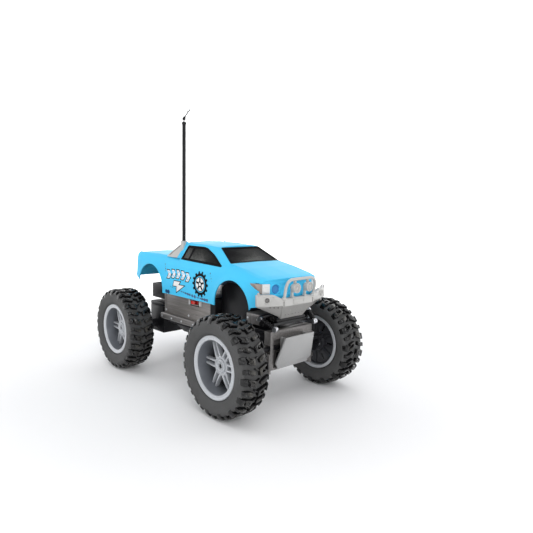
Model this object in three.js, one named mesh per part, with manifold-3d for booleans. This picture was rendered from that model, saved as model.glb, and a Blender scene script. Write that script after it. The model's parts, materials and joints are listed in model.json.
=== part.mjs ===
// Radio-controlled monster truck, about 1:24, as an assembly of moulded parts.
// Millimetres. +X is the truck's front, +Y its left, +Z up. The origin is on the ground
// below the middle of the wheelbase.
import * as THREE from 'three';
import { mergeVertices } from 'three/addons/utils/BufferGeometryUtils.js';
import { ConvexGeometry } from 'three/addons/geometries/ConvexGeometry.js';
import Module from 'manifold-3d';

const wasm = await Module();
wasm.setup();

// ---- driving dimensions -------------------------------------------------------------
const GAP = 0.3;                  // clearance between pieces that meet

const AXLE_X = 75.7;              // half the wheelbase
const AXLE_Z = 37.5;              // wheel centre above the ground
const WHEEL_Y = 55.5;             // middle plane of each wheel
const TYRE_R = 37.5;
const TYRE_HALF = 12;             // half the width over the sidewalls
const WHEEL_SIDES = 32;           // facets round a rim or a tyre; a flat one is down
const RIM_R = 23.3;               // outer flange
const RIM_HALF = 10.1;            // half the width of a rim
const BARREL_R = 21.7;
const BARREL_WALL = 1.2;
const HUB_R = 5.4;
const SPOKES = 6;
const WEB_BACK = -6.8;            // closed web behind the spokes
const WEB_FRONT = -5.6;

const PIVOT_Z = 12.5;             // roll pivot above the wheel centre
const SHAFT_R = 1.4;

const CASE_HALF = 22;             // gearbox case, half width
const CASE_BACK = -15.7;          // gearbox case, end that faces the chassis
const CASE_FRONT = 8.3;
const CASE_BOTTOM = -7.8;
const CASE_TOP = 18.2;
const CASE_WALL = 1.4;
const LID_TOP = 21.9;
const MOTOR_R = 7.7;
const MOTOR_FLAT = 6;             // half height between the flats
const MOTOR_LENGTH = 19.6;
const MOTOR_X = -1;
const MOTOR_Z = 10;

const MODULE = 0.5;               // gear module
const FINAL_TEETH = 22;
const IDLER_TEETH = 24;
const IDLER_PINION_TEETH = 10;
const PINION_TEETH = 8;
const IDLER_X = -6.82;
const IDLER_Z = 4.37;

const KINGPIN_Y = 37;
const FRONT_POST_X = 56;          // body posts, under the hood and behind the cab
const REAR_POST_X = -66;
const POST_SEAT = 95;             // top of the yokes that carry the posts
const STEER_ARM = 12;             // tie rod pin ahead of the kingpin
const TIE_ROD_Z = 8.4;

const SHELL = 1.5;                // body shell wall
const BODY_HALF = 34.5;
const SILL_Z = 73.5;
const BELT_Z = 103;
const ROOF_HALF = 22.5;
const ROOF_REAR_X = -20;

const BOX_HALF = 28.5;            // chassis box
const BOX_BACK = -47.5;
const BOX_FRONT = 30.5;
const BOX_WALL = 1.5;
const BOX_TOP = 76;
const RAIL_HALF = 31;
const RAIL_TOP = 53;
const RAIL_BOTTOM = 47.3;

const CELL_R = 7.25;              // AA cell
const CELL_LENGTH = 50.5;
const CELL_PITCH = 14.9;
const CELL_FIRST_X = -30.4;
const CELL_Z = 55;

const ANTENNA = { x: -22.6, y: -23.6, bottom: 80, top: 227, r: 1.65, bore: 0.85, wire: 0.5 };

// ---- materials ----------------------------------------------------------------------
const plastic = (color, roughness = 0.5) =>
  new THREE.MeshStandardMaterial({ color, roughness, metalness: 0 });
const metal = (color, roughness = 0.35) =>
  new THREE.MeshStandardMaterial({ color, roughness, metalness: 1 });

const CYAN = plastic(0x3fb4ea, 0.25);
const TRIM = plastic(0xb9b5b2, 0.45);
const GREY = plastic(0x77726f, 0.45);
const BLACK = plastic(0x17171a, 0.45);
const GLASS = plastic(0x15161a, 0.12);
const LENS = plastic(0xf2f2ee, 0.15);
const RIM = plastic(0xb5bcc6, 0.35);
const RUBBER = plastic(0x1b1b1d, 0.85);
const GEAR = plastic(0xe8e4d8, 0.4);
const STEEL = metal(0xb8bcc2);
const BRASS = metal(0xb89650);
const BOARD = plastic(0x1d6b3c, 0.5);
const CELL = plastic(0x2c2f36, 0.35);
const RED = plastic(0xc8201c, 0.35);

// ---- solids -------------------------------------------------------------------------
function solid(geometry) {
  const bare = geometry.index ? geometry.toNonIndexed() : geometry.clone();
  bare.deleteAttribute('normal');
  bare.deleteAttribute('uv');
  const merged = mergeVertices(bare, 1e-4);
  return new wasm.Manifold(new wasm.Mesh({
    numProp: 3,
    vertProperties: new Float32Array(merged.attributes.position.array),
    triVerts: new Uint32Array(merged.index.array),
  }));
}

const join = (first, ...rest) => rest.reduce((sum, next) => sum.add(next), first);
const cut = (first, ...rest) => rest.reduce((left, next) => left.subtract(next), first);

function box(x0, x1, y0, y1, z0, z1) {
  const geometry = new THREE.BoxGeometry(x1 - x0, y1 - y0, z1 - z0);
  geometry.translate((x0 + x1) / 2, (y0 + y1) / 2, (z0 + z1) / 2);
  return solid(geometry);
}

// a box that spans -half to +half across the truck
const wide = (x0, x1, half, z0, z1) => box(x0, x1, -half, half, z0, z1);

function extrude(points, depth, u, v, w, origin) {
  const shape = new THREE.Shape(points.map(([a, b]) => new THREE.Vector2(a, b)));
  const geometry = new THREE.ExtrudeGeometry(shape, { depth, bevelEnabled: false });
  const frame = new THREE.Matrix4().makeBasis(u, v, w).setPosition(origin);
  geometry.applyMatrix4(frame);
  return solid(geometry);
}

const X = new THREE.Vector3(1, 0, 0);
const Y = new THREE.Vector3(0, 1, 0);
const Z = new THREE.Vector3(0, 0, 1);

// outline in X and Z, extruded across the truck from y0 to y1
const prismY = (points, y0, y1) =>
  extrude(points, y1 - y0, X, Z, Y.clone().negate(), new THREE.Vector3(0, y1, 0));

// outline in Y and Z, extruded along the truck from x0 to x1
const prismX = (points, x0, x1) => extrude(points, x1 - x0, Y, Z, X, new THREE.Vector3(x0, 0, 0));

// outline in X and Y, extruded upwards from z0 to z1
const prismZ = (points, z0, z1) => extrude(points, z1 - z0, X, Y, Z, new THREE.Vector3(0, 0, z0));

function rodY(x, z, r, y0, y1, sides = 16) {
  const geometry = new THREE.CylinderGeometry(r, r, y1 - y0, sides);
  geometry.translate(x, (y0 + y1) / 2, z);
  return solid(geometry);
}

function rodX(y, z, r, x0, x1, sides = 16) {
  const geometry = new THREE.CylinderGeometry(r, r, x1 - x0, sides);
  geometry.rotateZ(-Math.PI / 2);
  geometry.translate((x0 + x1) / 2, y, z);
  return solid(geometry);
}

function rodZ(x, y, r, z0, z1, sides = 16) {
  const geometry = new THREE.CylinderGeometry(r, r, z1 - z0, sides);
  geometry.rotateX(Math.PI / 2);
  geometry.translate(x, y, (z0 + z1) / 2);
  return solid(geometry);
}

function ball(x, y, z, r, sides = 12) {
  const geometry = new THREE.SphereGeometry(r, sides, sides / 2);
  geometry.translate(x, y, z);
  return solid(geometry);
}

// closed profile of [radius, y] pairs turned about the Y axis
function turned(profile, sides) {
  const points = profile.map(([r, y]) => new THREE.Vector2(r, y));
  points.push(points[0].clone());
  return solid(new THREE.LatheGeometry(points, sides));
}

function hull(points) {
  return solid(new ConvexGeometry(points.map((p) => new THREE.Vector3(...p))));
}

const mirrored = (half) => half.flatMap(([x, y, z]) => [[x, y, z], [x, -y, z]]);

const circle = (cx, cy, r, from, to, steps) => Array.from({ length: steps + 1 }, (_, i) => {
  const a = from + (to - from) * i / steps;
  return [cx + r * Math.cos(a), cy + r * Math.sin(a)];
});

// spur gear about a Y axis at x, z; `mark` is the direction, in the XZ plane, of one tooth
function gear(x, z, teeth, y0, y1, mark) {
  const pitchR = MODULE * teeth / 2;
  const tipR = pitchR + 0.85 * MODULE;
  const rootR = pitchR - 1.2 * MODULE;
  const halfPitch = (Math.PI / teeth) / 2;
  const slack = 0.16 / pitchR;
  const halfRoot = halfPitch * 1.35 - slack / 2;
  const halfTip = halfPitch * 0.5 - slack / 2;
  const outline = [];
  for (let i = 0; i < teeth; i += 1) {
    const a = mark + 2 * Math.PI * i / teeth;
    for (const [r, d] of [[rootR, -halfRoot], [tipR, -halfTip], [tipR, halfTip], [rootR, halfRoot]]) {
      outline.push([x + r * Math.cos(a + d), z + r * Math.sin(a + d)]);
    }
  }
  return prismY(outline, y0, y1);
}

// ---- scene --------------------------------------------------------------------------
const truck = new THREE.Group();

function add(parent, name, body, material) {
  const mesh = body.getMesh();
  const geometry = new THREE.BufferGeometry();
  geometry.setAttribute('position', new THREE.BufferAttribute(mesh.vertProperties, 3));
  geometry.setIndex(new THREE.BufferAttribute(mesh.triVerts, 1));
  const node = new THREE.Mesh(geometry, material);
  node.name = name;
  parent.add(node);
  return node;
}

// ---- body shell ---------------------------------------------------------------------
// side outline of the lower body; `inset` shrinks it for the hollow inside
function lowerBody(inset, floor) {
  const side = [
    [-92 + inset, floor], [-93.5 + inset, 86], [-91.5 + inset, 104 - inset],
    [-88 + inset, 107.5 - inset], [-42, 108 - inset], [48, 108 - inset],
    [66, 104.6 - inset], [84 - inset, 99.5 - inset],
    [92 - inset, 95.5 - inset], [92.5 - inset, 80], [90 - inset, floor],
  ];
  const half = BODY_HALF - inset;
  const plan = [
    [-95, 30 - inset], [-90, 33.2 - inset], [-82, half], [70, half], [82, 33.4 - inset],
    [87.5 - inset, 30.5 - inset], [91.5 - inset, 20], [93 - inset, 0],
  ];
  const outline = [...plan, ...plan.slice(0, -1).reverse().map(([x, y]) => [x, -y])];
  const crown = [
    [half, 60], [half, 93], [half - 1.2, 100 - inset], [half - 4.5, 104.5 - inset],
    [half - 8, 106.6 - inset], [20, 107.6 - inset],
  ];
  const section = [...crown, [0, 108.4 - inset], ...crown.slice().reverse().map(([y, z]) => [-y, z])];
  return prismY(side, -60, 60).intersect(prismZ(outline, 50, 120)).intersect(prismX(section, -100, 100));
}

function greenhouse(inset, bottom) {
  const i = inset;
  return hull(mirrored([
    [54.5 - i, 20, bottom], [47.5 - i, 31.2 - i, bottom], [-41.5 + i, 31.2 - i, bottom],
    [29 - i, 17, 118.6 - i], [25.5 - i, ROOF_HALF - i, 118.2 - i], [-20, ROOF_HALF + 0.3 - i, 119.4 - i],
    [-26 + i, ROOF_HALF - 0.4 - i, 119.2 - i],
    [22 - i, 14, 120.3 - i], [-18, 17, 121.6 - i], [-24 + i, 15, 121 - i],
  ]));
}

const lowerOuter = lowerBody(0, 60);
const lowerInner = lowerBody(SHELL, 55);
const houseOuter = greenhouse(0, BELT_Z);
const houseInner = greenhouse(SHELL, BELT_Z - 3);
const houseWall = houseOuter.subtract(houseInner).subtract(wide(-100, 100, 50, 0, 107.2));

const arch = (x, z, r) => [[x - r, 60], ...circle(x, z, r, Math.PI, 0, 14), [x + r, 60]];
const sill = [
  [-120, 55], [120, 55], [120, 78.3], [84, 78.3], [79, 77.6], [77, SILL_Z], [-43, SILL_Z],
  [-80, SILL_Z], [-84, 82.5], [-91, 84.2], [-120, 84.2],
];
const sideWindow = [[-18.5, 107.2], [-16, 117.5], [9, 116.6], [17, 114.6], [37.5, 105.4], [36, 104.6]];
const windscreenHalf = [[27.5, -20.6], [46.6, -26.2], [48.6, -14]];
const windscreen = [
  ...windscreenHalf, [49.2, 0], ...windscreenHalf.slice().reverse().map(([x, y]) => [x, -y]),
];
const rearWindow = [[-27.4, -15], [-27.4, 15], [-38.6, 19], [-38.6, -19]];

// a convex outline with every edge moved inwards, for the pane that fills an opening
function pulledIn(points, by) {
  const area = THREE.ShapeUtils.area(points.map(([a, b]) => new THREE.Vector2(a, b)));
  const turn = Math.sign(area);
  const edges = points.map(([a, b], i) => {
    const [c, d] = points[(i + 1) % points.length];
    const length = Math.hypot(c - a, d - b);
    const n = [-turn * (d - b) / length, turn * (c - a) / length];
    return { n, k: n[0] * a + n[1] * b + by };
  });
  return points.map((p, i) => {
    const e = edges[(i + points.length - 1) % points.length];
    const f = edges[i];
    const det = e.n[0] * f.n[1] - e.n[1] * f.n[0];
    return [(e.k * f.n[1] - f.k * e.n[1]) / det, (e.n[0] * f.k - f.n[0] * e.k) / det];
  });
}

// the two distances from the middle plane, put on one side of it, low one first
const span = (side, a, b) => [Math.min(side * a, side * b), Math.max(side * a, side * b)];

const lampBox = (side, grow) =>
  box(80.5 - grow, 100, ...span(side, 23.5 - grow, 40), 87.5 - grow, 96.3 + grow);

const shellSolid = lowerOuter.add(houseOuter.subtract(wide(-100, ROOF_REAR_X, 60, 90, 130)))
  .subtract(lowerInner.subtract(wide(-100, ROOF_REAR_X - SHELL, 60, 106, 130)))
  .subtract(houseInner.subtract(wide(-100, ROOF_REAR_X, 60, 90, 130)));

let bodyShell = cut(
  shellSolid,
  prismY(sill, -60, 60),
  prismY(arch(-62.5, 77.3, 21.4), -60, 60),
  prismY(arch(57.6, 75, 20.8), -60, 60),
  prismZ(windscreen, 104, 130),
  prismY(sideWindow, -60, 60),
  lampBox(1, GAP),
  lampBox(-1, GAP),
);
for (const x of [FRONT_POST_X, REAR_POST_X]) {
  const post = cut(rodZ(x, 0, 3.2, POST_SEAT + GAP, 106.8, 12), rodZ(x, 0, 1.1, 80, 103, 12));
  bodyShell = bodyShell.add(post);
}
bodyShell = bodyShell.subtract(rodZ(ANTENNA.x, ANTENNA.y, ANTENNA.r + GAP, 70, 130, 16));
add(truck, 'body_shell', bodyShell, CYAN);

const pillarCut = wide(ROOF_REAR_X - GAP, 100, 60, 90, 130);
const collar = rodZ(ANTENNA.x, ANTENNA.y, 3.1, 112, 122.2, 16);
const cabRear = houseWall.subtract(wide(-100, 100, 60, 0, 108.5)).subtract(pillarCut)
  .subtract(prismZ(rearWindow, 100, 130)).add(collar.subtract(pillarCut))
  .subtract(rodZ(ANTENNA.x, ANTENNA.y, ANTENNA.r + GAP, 100, 130, 16));
add(truck, 'cab_rear_panel', cabRear, TRIM);
add(truck, 'rear_window', houseWall.intersect(prismZ(pulledIn(rearWindow, GAP), 109, 130)), GLASS);
add(truck, 'windscreen', houseWall.intersect(prismZ(pulledIn(windscreen, GAP), 105, 130)), GLASS);

const paneWall = houseOuter.subtract(houseInner);
for (const [name, y0, y1] of [['side_window_right', -60, 0], ['side_window_left', 0, 60]]) {
  add(truck, name, paneWall.intersect(prismY(pulledIn(sideWindow, GAP), y0, y1)), GLASS);
}

const lowerWall = lowerOuter.subtract(lowerInner);
add(truck, 'headlight_right', lowerWall.intersect(lampBox(-1, 0)), LENS);
add(truck, 'headlight_left', lowerWall.intersect(lampBox(1, 0)), LENS);

// ---- bumper, bull bar and lamps -----------------------------------------------------
const BUMPER_TOP = 84.7;

function bumperSolid() {
  const face = hull(mirrored([
    [97, 17.6, BUMPER_TOP], [97.4, 17.6, 79], [93.4, 17.6, BUMPER_TOP], [93.4, 17.6, 78],
  ]));
  const chin = hull(mirrored([
    [97.2, 17.3, 79.4], [90.4, 12, 68.2], [93.7, 17.3, 78.6], [87.2, 12, 68.2],
  ]));
  const wing = (side) => hull([
    [96.8, 16.6, 84.3], [97.1, 16.6, 79.6], [93.7, 16.6, 84.3], [93.7, 16.6, 79],
    [96.4, 26, 88.6], [93.2, 26, 88.6], [91, 37.6, 88.8], [88.6, 37.6, 88.8],
    [91.8, 38, 80.6], [89.4, 38, 80.6],
  ].map(([x, y, z]) => [x, side * y, z]));
  const skirt = (side) => hull([
    [96.9, 15.8, 79.6], [90, 10.8, 68.6], [91.6, 37.4, 81.4],
    [93.9, 15.8, 78.8], [87.6, 10.8, 68.6], [89.6, 37.4, 80],
  ].map(([x, y, z]) => [x, side * y, z]));
  let bumper = join(face, chin, wing(1), wing(-1), skirt(1), skirt(-1));
  for (const side of [1, -1]) {
    bumper = bumper.subtract(box(95.6, 99, side * 16.3 - 0.7, side * 16.3 + 0.7, 79.2, 83));
    bumper = bumper.subtract(rodX(side * 31, 84.8, 1.9, 93, 99, 12));
  }
  return bumper;
}
add(truck, 'front_bumper', bumperSolid(), TRIM);

function tubeAlong(points, r, sides, steps) {
  const section = new THREE.Shape(circle(0, 0, r, 0, 2 * Math.PI, sides).slice(0, -1)
    .map(([a, b]) => new THREE.Vector2(a, b)));
  const path = new THREE.CatmullRomCurve3(points.map((p) => new THREE.Vector3(...p)), false, 'centripetal');
  return solid(new THREE.ExtrudeGeometry(section, { steps, bevelEnabled: false, extrudePath: path }));
}
const hoopHalf = [
  [96.4, 16.6, BUMPER_TOP + GAP], [98, 16.5, 88], [99.6, 15.4, 95], [100, 13.2, 98.4], [100, 9, 99],
];
const hoopPath = [
  ...hoopHalf.map(([x, y, z]) => [x, -y, z]),
  ...hoopHalf.slice().reverse(),
];
const hoop = tubeAlong(hoopPath, 1.2, 6, 16).intersect(wide(90, 110, 30, BUMPER_TOP + GAP, 110));
add(truck, 'bull_bar', hoop, TRIM);

const SPOT = { x0: 96.4, x1: 102.2, y: 7.1, z: 92.6, r: 3.3 };
for (const [name, side] of [['spot_lamp_right', -1], ['spot_lamp_left', 1]]) {
  const can = rodX(side * SPOT.y, SPOT.z, SPOT.r, SPOT.x0, SPOT.x1, 20);
  const dish = rodX(side * SPOT.y, SPOT.z, SPOT.r - 0.7, SPOT.x1 - 0.7, SPOT.x1 + 1, 20);
  const stem = box(95.4, 97.4, side * SPOT.y - 1, side * SPOT.y + 1, BUMPER_TOP + GAP, SPOT.z);
  add(truck, name, join(can, stem).subtract(dish), TRIM);
}

// ---- chassis ------------------------------------------------------------------------
const SWITCH = { x0: -2.5, x1: 2.9, z0: 68.3, z1: 70.9, travel: 4 };

const wireHole = rodZ(ANTENNA.x, ANTENNA.y, 1.2, 60, 90, 10);
const upper = cut(
  wide(BOX_BACK, BOX_FRONT, BOX_HALF, RAIL_TOP + GAP, BOX_TOP),
  wide(BOX_BACK + BOX_WALL, BOX_FRONT - BOX_WALL, BOX_HALF - BOX_WALL, 40, BOX_TOP - BOX_WALL),
  box(SWITCH.x0 - 0.5, SWITCH.x1 + SWITCH.travel + 0.5, -40, -20, SWITCH.z0 - 0.4, SWITCH.z1 + 0.4),
  wireHole,
);
add(truck, 'chassis_upper', upper, GREY);

const CELL_LAST_X = CELL_FIRST_X + 3 * CELL_PITCH;
const bayBack = CELL_FIRST_X - CELL_R - 0.8;
const bayFront = CELL_LAST_X + CELL_R + 0.8;
const BAY_HALF = 26.8;
const railSide = [
  [RAIL_HALF - 1.6, RAIL_BOTTOM], [RAIL_HALF, RAIL_BOTTOM + 1.4],
  [RAIL_HALF, RAIL_TOP - 0.8], [RAIL_HALF - 0.8, RAIL_TOP],
];
const railEdge = [...railSide, ...railSide.slice().reverse().map(([y, z]) => [-y, z])];
add(truck, 'chassis_lower', cut(
  prismX(railEdge, -51, 34),
  wide(bayBack, bayFront, BAY_HALF, 40, 60),
), GREY);

const DOOR_TOP = RAIL_BOTTOM - GAP;
const DOOR_BOTTOM = 36;
// the door's belly, a tub with sloping sides, up to `top`
const doorTub = (inset, top) => hull(mirrored([
  [-33 + inset, 17 - inset, DOOR_BOTTOM + inset], [17 - inset, 17 - inset, DOOR_BOTTOM + inset],
  [-40 + inset, 24 - inset, DOOR_TOP - 1], [24 - inset, 24 - inset, DOOR_TOP - 1],
  [-40 + inset, 24 - inset, top], [24 - inset, 24 - inset, top],
]));
const doorFlange = wide(-41, 25, 28.4, DOOR_TOP - 1.6, DOOR_TOP);
const door = doorFlange.add(doorTub(0, DOOR_TOP)).subtract(doorTub(1.4, DOOR_TOP + 2));
add(truck, 'battery_door', door, BLACK);

for (let i = 0; i < 4; i += 1) {
  const x = CELL_FIRST_X + i * CELL_PITCH;
  const can = rodY(x, CELL_Z, CELL_R, 1 - CELL_LENGTH / 2, CELL_LENGTH / 2, 20);
  const nub = rodY(x, CELL_Z, 2.75, -CELL_LENGTH / 2, 0, 12);
  const cell = can.add(nub);
  add(truck, `battery_cell_${i + 1}`, i % 2 ? cell.mirror([0, 1, 0]) : cell, CELL);
}
for (const [name, side] of [['contact_plate_right', -1], ['contact_plate_left', 1]]) {
  add(truck, name, box(-37, 21, ...span(side, 25.7, 26.3), 48.5, 61.5), STEEL);
}

const boardBody = join(
  box(-30, 12, -25.2, 25.2, 69.6, 71),
  box(-12, 0, -6, 6, 67.4, 69.7),
  box(3, 9, -16, -8, 66.4, 69.7),
  rodZ(-22, 12, 3.2, 64, 69.7, 12),
  rodZ(-14, 14, 2.4, 65, 69.7, 12),
  box(-27, -19, -6, -1, 70.9, 73.6),
);
add(truck, 'circuit_board', boardBody, BOARD);

const knob = join(
  box(SWITCH.x0, SWITCH.x1, -30, -BOX_HALF - GAP, SWITCH.z0, SWITCH.z1),
  box(SWITCH.x0 + 0.4, SWITCH.x1 - 0.4, -29, -26.4, SWITCH.z0 + 0.2, SWITCH.z1 - 0.2),
  box(SWITCH.x0 - 1, SWITCH.x1 + 1, -26.7, -25.6, SWITCH.z0 - 1, SWITCH.z1 + 0.8),
);
add(truck, 'power_switch', knob, RED);

const FRONT_YOKE_END = AXLE_X + CASE_BACK - 0.7;
const pivotWorldZ = AXLE_Z + PIVOT_Z;
const pinHole = (x0, x1) => rodX(0, pivotWorldZ, 1.9, x0, x1, 12);
const frontYokeSide = [
  [BOX_FRONT + GAP, RAIL_TOP + GAP], [FRONT_YOKE_END, RAIL_TOP + GAP], [FRONT_YOKE_END, 63], [66, 65],
  [66, 86], [60, 91], [38, 91], [BOX_FRONT + GAP, 86],
];
const frontYoke = join(
  cut(prismY(frontYokeSide, -22, 22), wide(33, 57.3, 20.4, 60, 100)),
  wide(34.3, FRONT_YOKE_END, 11, 43.5, 58),
  wide(FRONT_POST_X - 4, FRONT_POST_X + 4, 22, 87, POST_SEAT),
);
add(truck, 'front_yoke', cut(frontYoke, pinHole(48, 70), rodZ(FRONT_POST_X, 0, 1.5, 80, 100, 12)), BLACK);

const rearYokeSide = [
  [-51.3, 43.5], [-59.3, 43.5], [-59.3, 62.9], [-84, 62.9], [-84, 77], [-51.3, 77],
];
const rearYoke = cut(prismY(rearYokeSide, -20, 20), wide(-82, -61, 18, 65, 80))
  .add(rodZ(REAR_POST_X, 0, 3.4, 62.9, POST_SEAT, 12));
add(truck, 'rear_yoke', rearYoke.subtract(pinHole(-70, -48)), BLACK);

function pivotPin(side, wall) {
  const face = wall + CASE_WALL + 0.4;
  const shank = rodX(0, pivotWorldZ, 1.6, ...span(side, wall - 8.4, face + 0.1), 12);
  const head = rodX(0, pivotWorldZ, 2.7, ...span(side, face, face + 1.3), 12);
  return shank.add(head);
}
const caseWallX = AXLE_X + CASE_BACK;
add(truck, 'front_pivot_pin', pivotPin(1, caseWallX), STEEL);
add(truck, 'rear_pivot_pin', pivotPin(-1, caseWallX), STEEL);

add(truck, 'front_bracket', join(
  wide(66.3, 84.5, 26, 69.5, 71.3),
  box(66.3, 84.5, -26, -24.4, 63.2, 69.6),
  box(66.3, 84.5, 24.4, 26, 63.2, 69.6),
  prismY([[82, 69.6], [84.5, 71.3], [86.3, 67.8], [90, 67.8], [90, 66], [82, 66]], -16, 16),
), GREY);
add(truck, 'front_cross_bar', join(
  wide(86, 89.6, 15.6, 62.9, 65.6),
  box(84.8, 90.2, -19.5, -15.4, 62.9, 65.6),
  box(84.8, 90.2, 15.4, 19.5, 62.9, 65.6),
), BLACK);

// ---- antenna ------------------------------------------------------------------------
const { x: ax, y: ay } = ANTENNA;
add(truck, 'antenna_tube', rodZ(ax, ay, ANTENNA.r, ANTENNA.bottom, ANTENNA.top, 12)
  .subtract(rodZ(ax, ay, ANTENNA.bore, 60, 240, 10)), BLACK);
const tailPath = [
  [ax - 1.2, ay, 229], [ax + 0.6, ay, 231], [ax + 3.4, ay + 1.2, 233.6], [ax + 5.6, ay + 2.2, 237.4],
];
add(truck, 'antenna_wire', join(
  rodZ(ax, ay, ANTENNA.wire, 71.3, 229.5, 8),
  ball(ax, ay, 229.8, 2.2, 8),
  tubeAlong(tailPath, 0.7, 6, 5),
), BLACK);

// ---- drive units --------------------------------------------------------------------
// both axles use the same motor and gears; local origin on the wheel shaft
const idlerToFinal = Math.atan2(-IDLER_Z, -IDLER_X);
const idlerToMotor = Math.atan2(MOTOR_Z - IDLER_Z, MOTOR_X - IDLER_X);
const bigTooth = idlerToMotor;
const smallTooth = idlerToFinal;
const finalGap = idlerToFinal + Math.PI + Math.PI / FINAL_TEETH;
const motorGap = idlerToMotor + Math.PI + Math.PI / PINION_TEETH;

const finalGear = () => gear(0, 0, FINAL_TEETH, -4.6, -1.6, finalGap);

function driveUnit(prefix, extraCase) {
  const unit = new THREE.Group();
  const inner = CASE_HALF - 1.5;
  let gearbox = cut(
    wide(CASE_BACK, CASE_FRONT, CASE_HALF, CASE_BOTTOM, CASE_TOP),
    wide(CASE_BACK + CASE_WALL, CASE_FRONT - CASE_WALL, inner, CASE_BOTTOM + CASE_WALL, CASE_TOP + 5),
    rodX(0, PIVOT_Z, 2.1, CASE_BACK - 2, CASE_BACK + 4, 16),
  );
  gearbox = gearbox.add(rodY(IDLER_X, IDLER_Z, 0.9, -inner - 0.5, -1, 10));
  if (extraCase) gearbox = gearbox.add(extraCase);
  gearbox = gearbox.subtract(rodY(0, 0, SHAFT_R + GAP, -60, 60, 16));
  add(unit, `${prefix}_gearbox_case`, gearbox, BLACK);
  const lidSide = [
    [CASE_BACK, CASE_TOP + GAP], [CASE_FRONT, CASE_TOP + GAP], [CASE_FRONT, LID_TOP - 0.8],
    [CASE_FRONT - 0.8, LID_TOP], [CASE_BACK + 0.8, LID_TOP], [CASE_BACK, LID_TOP - 0.8],
  ];
  add(unit, `${prefix}_gearbox_lid`, prismY(lidSide, -CASE_HALF, CASE_HALF), BLACK);
  const can = rodY(MOTOR_X, MOTOR_Z, MOTOR_R, 0.6, 0.6 + MOTOR_LENGTH, 24)
    .intersect(wide(-30, 30, 30, MOTOR_Z - MOTOR_FLAT, MOTOR_Z + MOTOR_FLAT));
  add(unit, `${prefix}_drive_motor`, can, STEEL);
  const pinion = gear(MOTOR_X, MOTOR_Z, PINION_TEETH, -8.4, -5.2, motorGap)
    .add(rodY(MOTOR_X, MOTOR_Z, 0.75, -9, 0.3, 8));
  add(unit, `${prefix}_motor_pinion`, pinion, BRASS);
  const idler = gear(IDLER_X, IDLER_Z, IDLER_TEETH, -8.2, -5.4, bigTooth)
    .add(gear(IDLER_X, IDLER_Z, IDLER_PINION_TEETH, -5.5, -1.3, smallTooth))
    .subtract(rodY(IDLER_X, IDLER_Z, 1.15, -12, 2, 12));
  add(unit, `${prefix}_idler_gear`, idler, GEAR);
  return unit;
}

// ---- wheels -------------------------------------------------------------------------
// local origin in the middle of the wheel, +Y towards the outside of the truck
function wheel(prefix) {
  const group = new THREE.Group();
  const flange = [
    [BARREL_R, RIM_HALF - 1.7], [RIM_R, RIM_HALF - 1.2], [RIM_R, RIM_HALF],
    [BARREL_R - BARREL_WALL, RIM_HALF],
  ];
  const flangeBehind = flange.slice().reverse().map(([r, y]) => [r, -y]);
  const barrel = turned([...flangeBehind, ...flange], WHEEL_SIDES);
  const web = rodY(0, 0, BARREL_R - 0.6, WEB_BACK, WEB_FRONT, WHEEL_SIDES);
  let rim = join(barrel, rodY(0, 0, HUB_R, -8.5, 4.1, 12), web);
  for (let i = 0; i < SPOKES; i += 1) {
    const turn = [0, 360 / SPOKES * i, 0];
    const pair = cut(box(4.6, BARREL_R - 0.6, -0.4, 3, -2.7, 2.7), box(7.5, 18.5, -5, 5, -0.9, 0.9));
    const slot = box(10, 17, WEB_BACK - 1, WEB_FRONT + 1, -0.7, 0.7);
    rim = rim.add(pair.rotate(turn)).subtract(slot.rotate([0, 180 / SPOKES, 0]).rotate(turn));
  }
  rim = rim.subtract(rodY(0, 0, SHAFT_R + GAP, -20, 20, 12)).subtract(rodY(0, 0, 2.5, 1.8, 10, 12));
  add(group, `${prefix}_rim`, rim, RIM);
  const half = [[22.2, 8], [23.8, 8.7], [23.8, 10.4], [31, TYRE_HALF], [TYRE_R, 9.4]];
  const section = [...half.map(([r, y]) => [r, -y]), ...half.slice().reverse()];
  const grow = 1 / Math.cos(Math.PI / WHEEL_SIDES);
  const tyre = turned(section, WHEEL_SIDES).rotate([0, 180 / WHEEL_SIDES, 0]).scale([grow, 1, grow]);
  add(group, `${prefix}_tyre`, tyre, RUBBER);
  return group;
}

function placeWheel(prefix, x, side) {
  const group = wheel(prefix);
  group.position.set(x, side * WHEEL_Y, AXLE_Z);
  group.rotation.z = side > 0 ? 0 : Math.PI;
  truck.add(group);
}

// ---- rear axle ----------------------------------------------------------------------
const axleTube = (side) => rodY(0, 0, 4.4, ...span(side, CASE_HALF - 1, 44), 16);
const axleTubes = axleTube(1).add(axleTube(-1)).subtract(wide(-5, 5, CASE_HALF - 1.5, -5, 5));
const rearUnit = driveUnit('rear', axleTubes);
add(rearUnit, 'rear_drive_shaft', rodY(0, 0, SHAFT_R, -57, 57, 12).add(finalGear()), STEEL);
rearUnit.position.set(-AXLE_X, 0, AXLE_Z);
rearUnit.rotation.z = Math.PI;
truck.add(rearUnit);
placeWheel('rear_right', -AXLE_X, -1);
placeWheel('rear_left', -AXLE_X, 1);

// ---- front axle ---------------------------------------------------------------------
const frontUnit = driveUnit('front', null);

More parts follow.
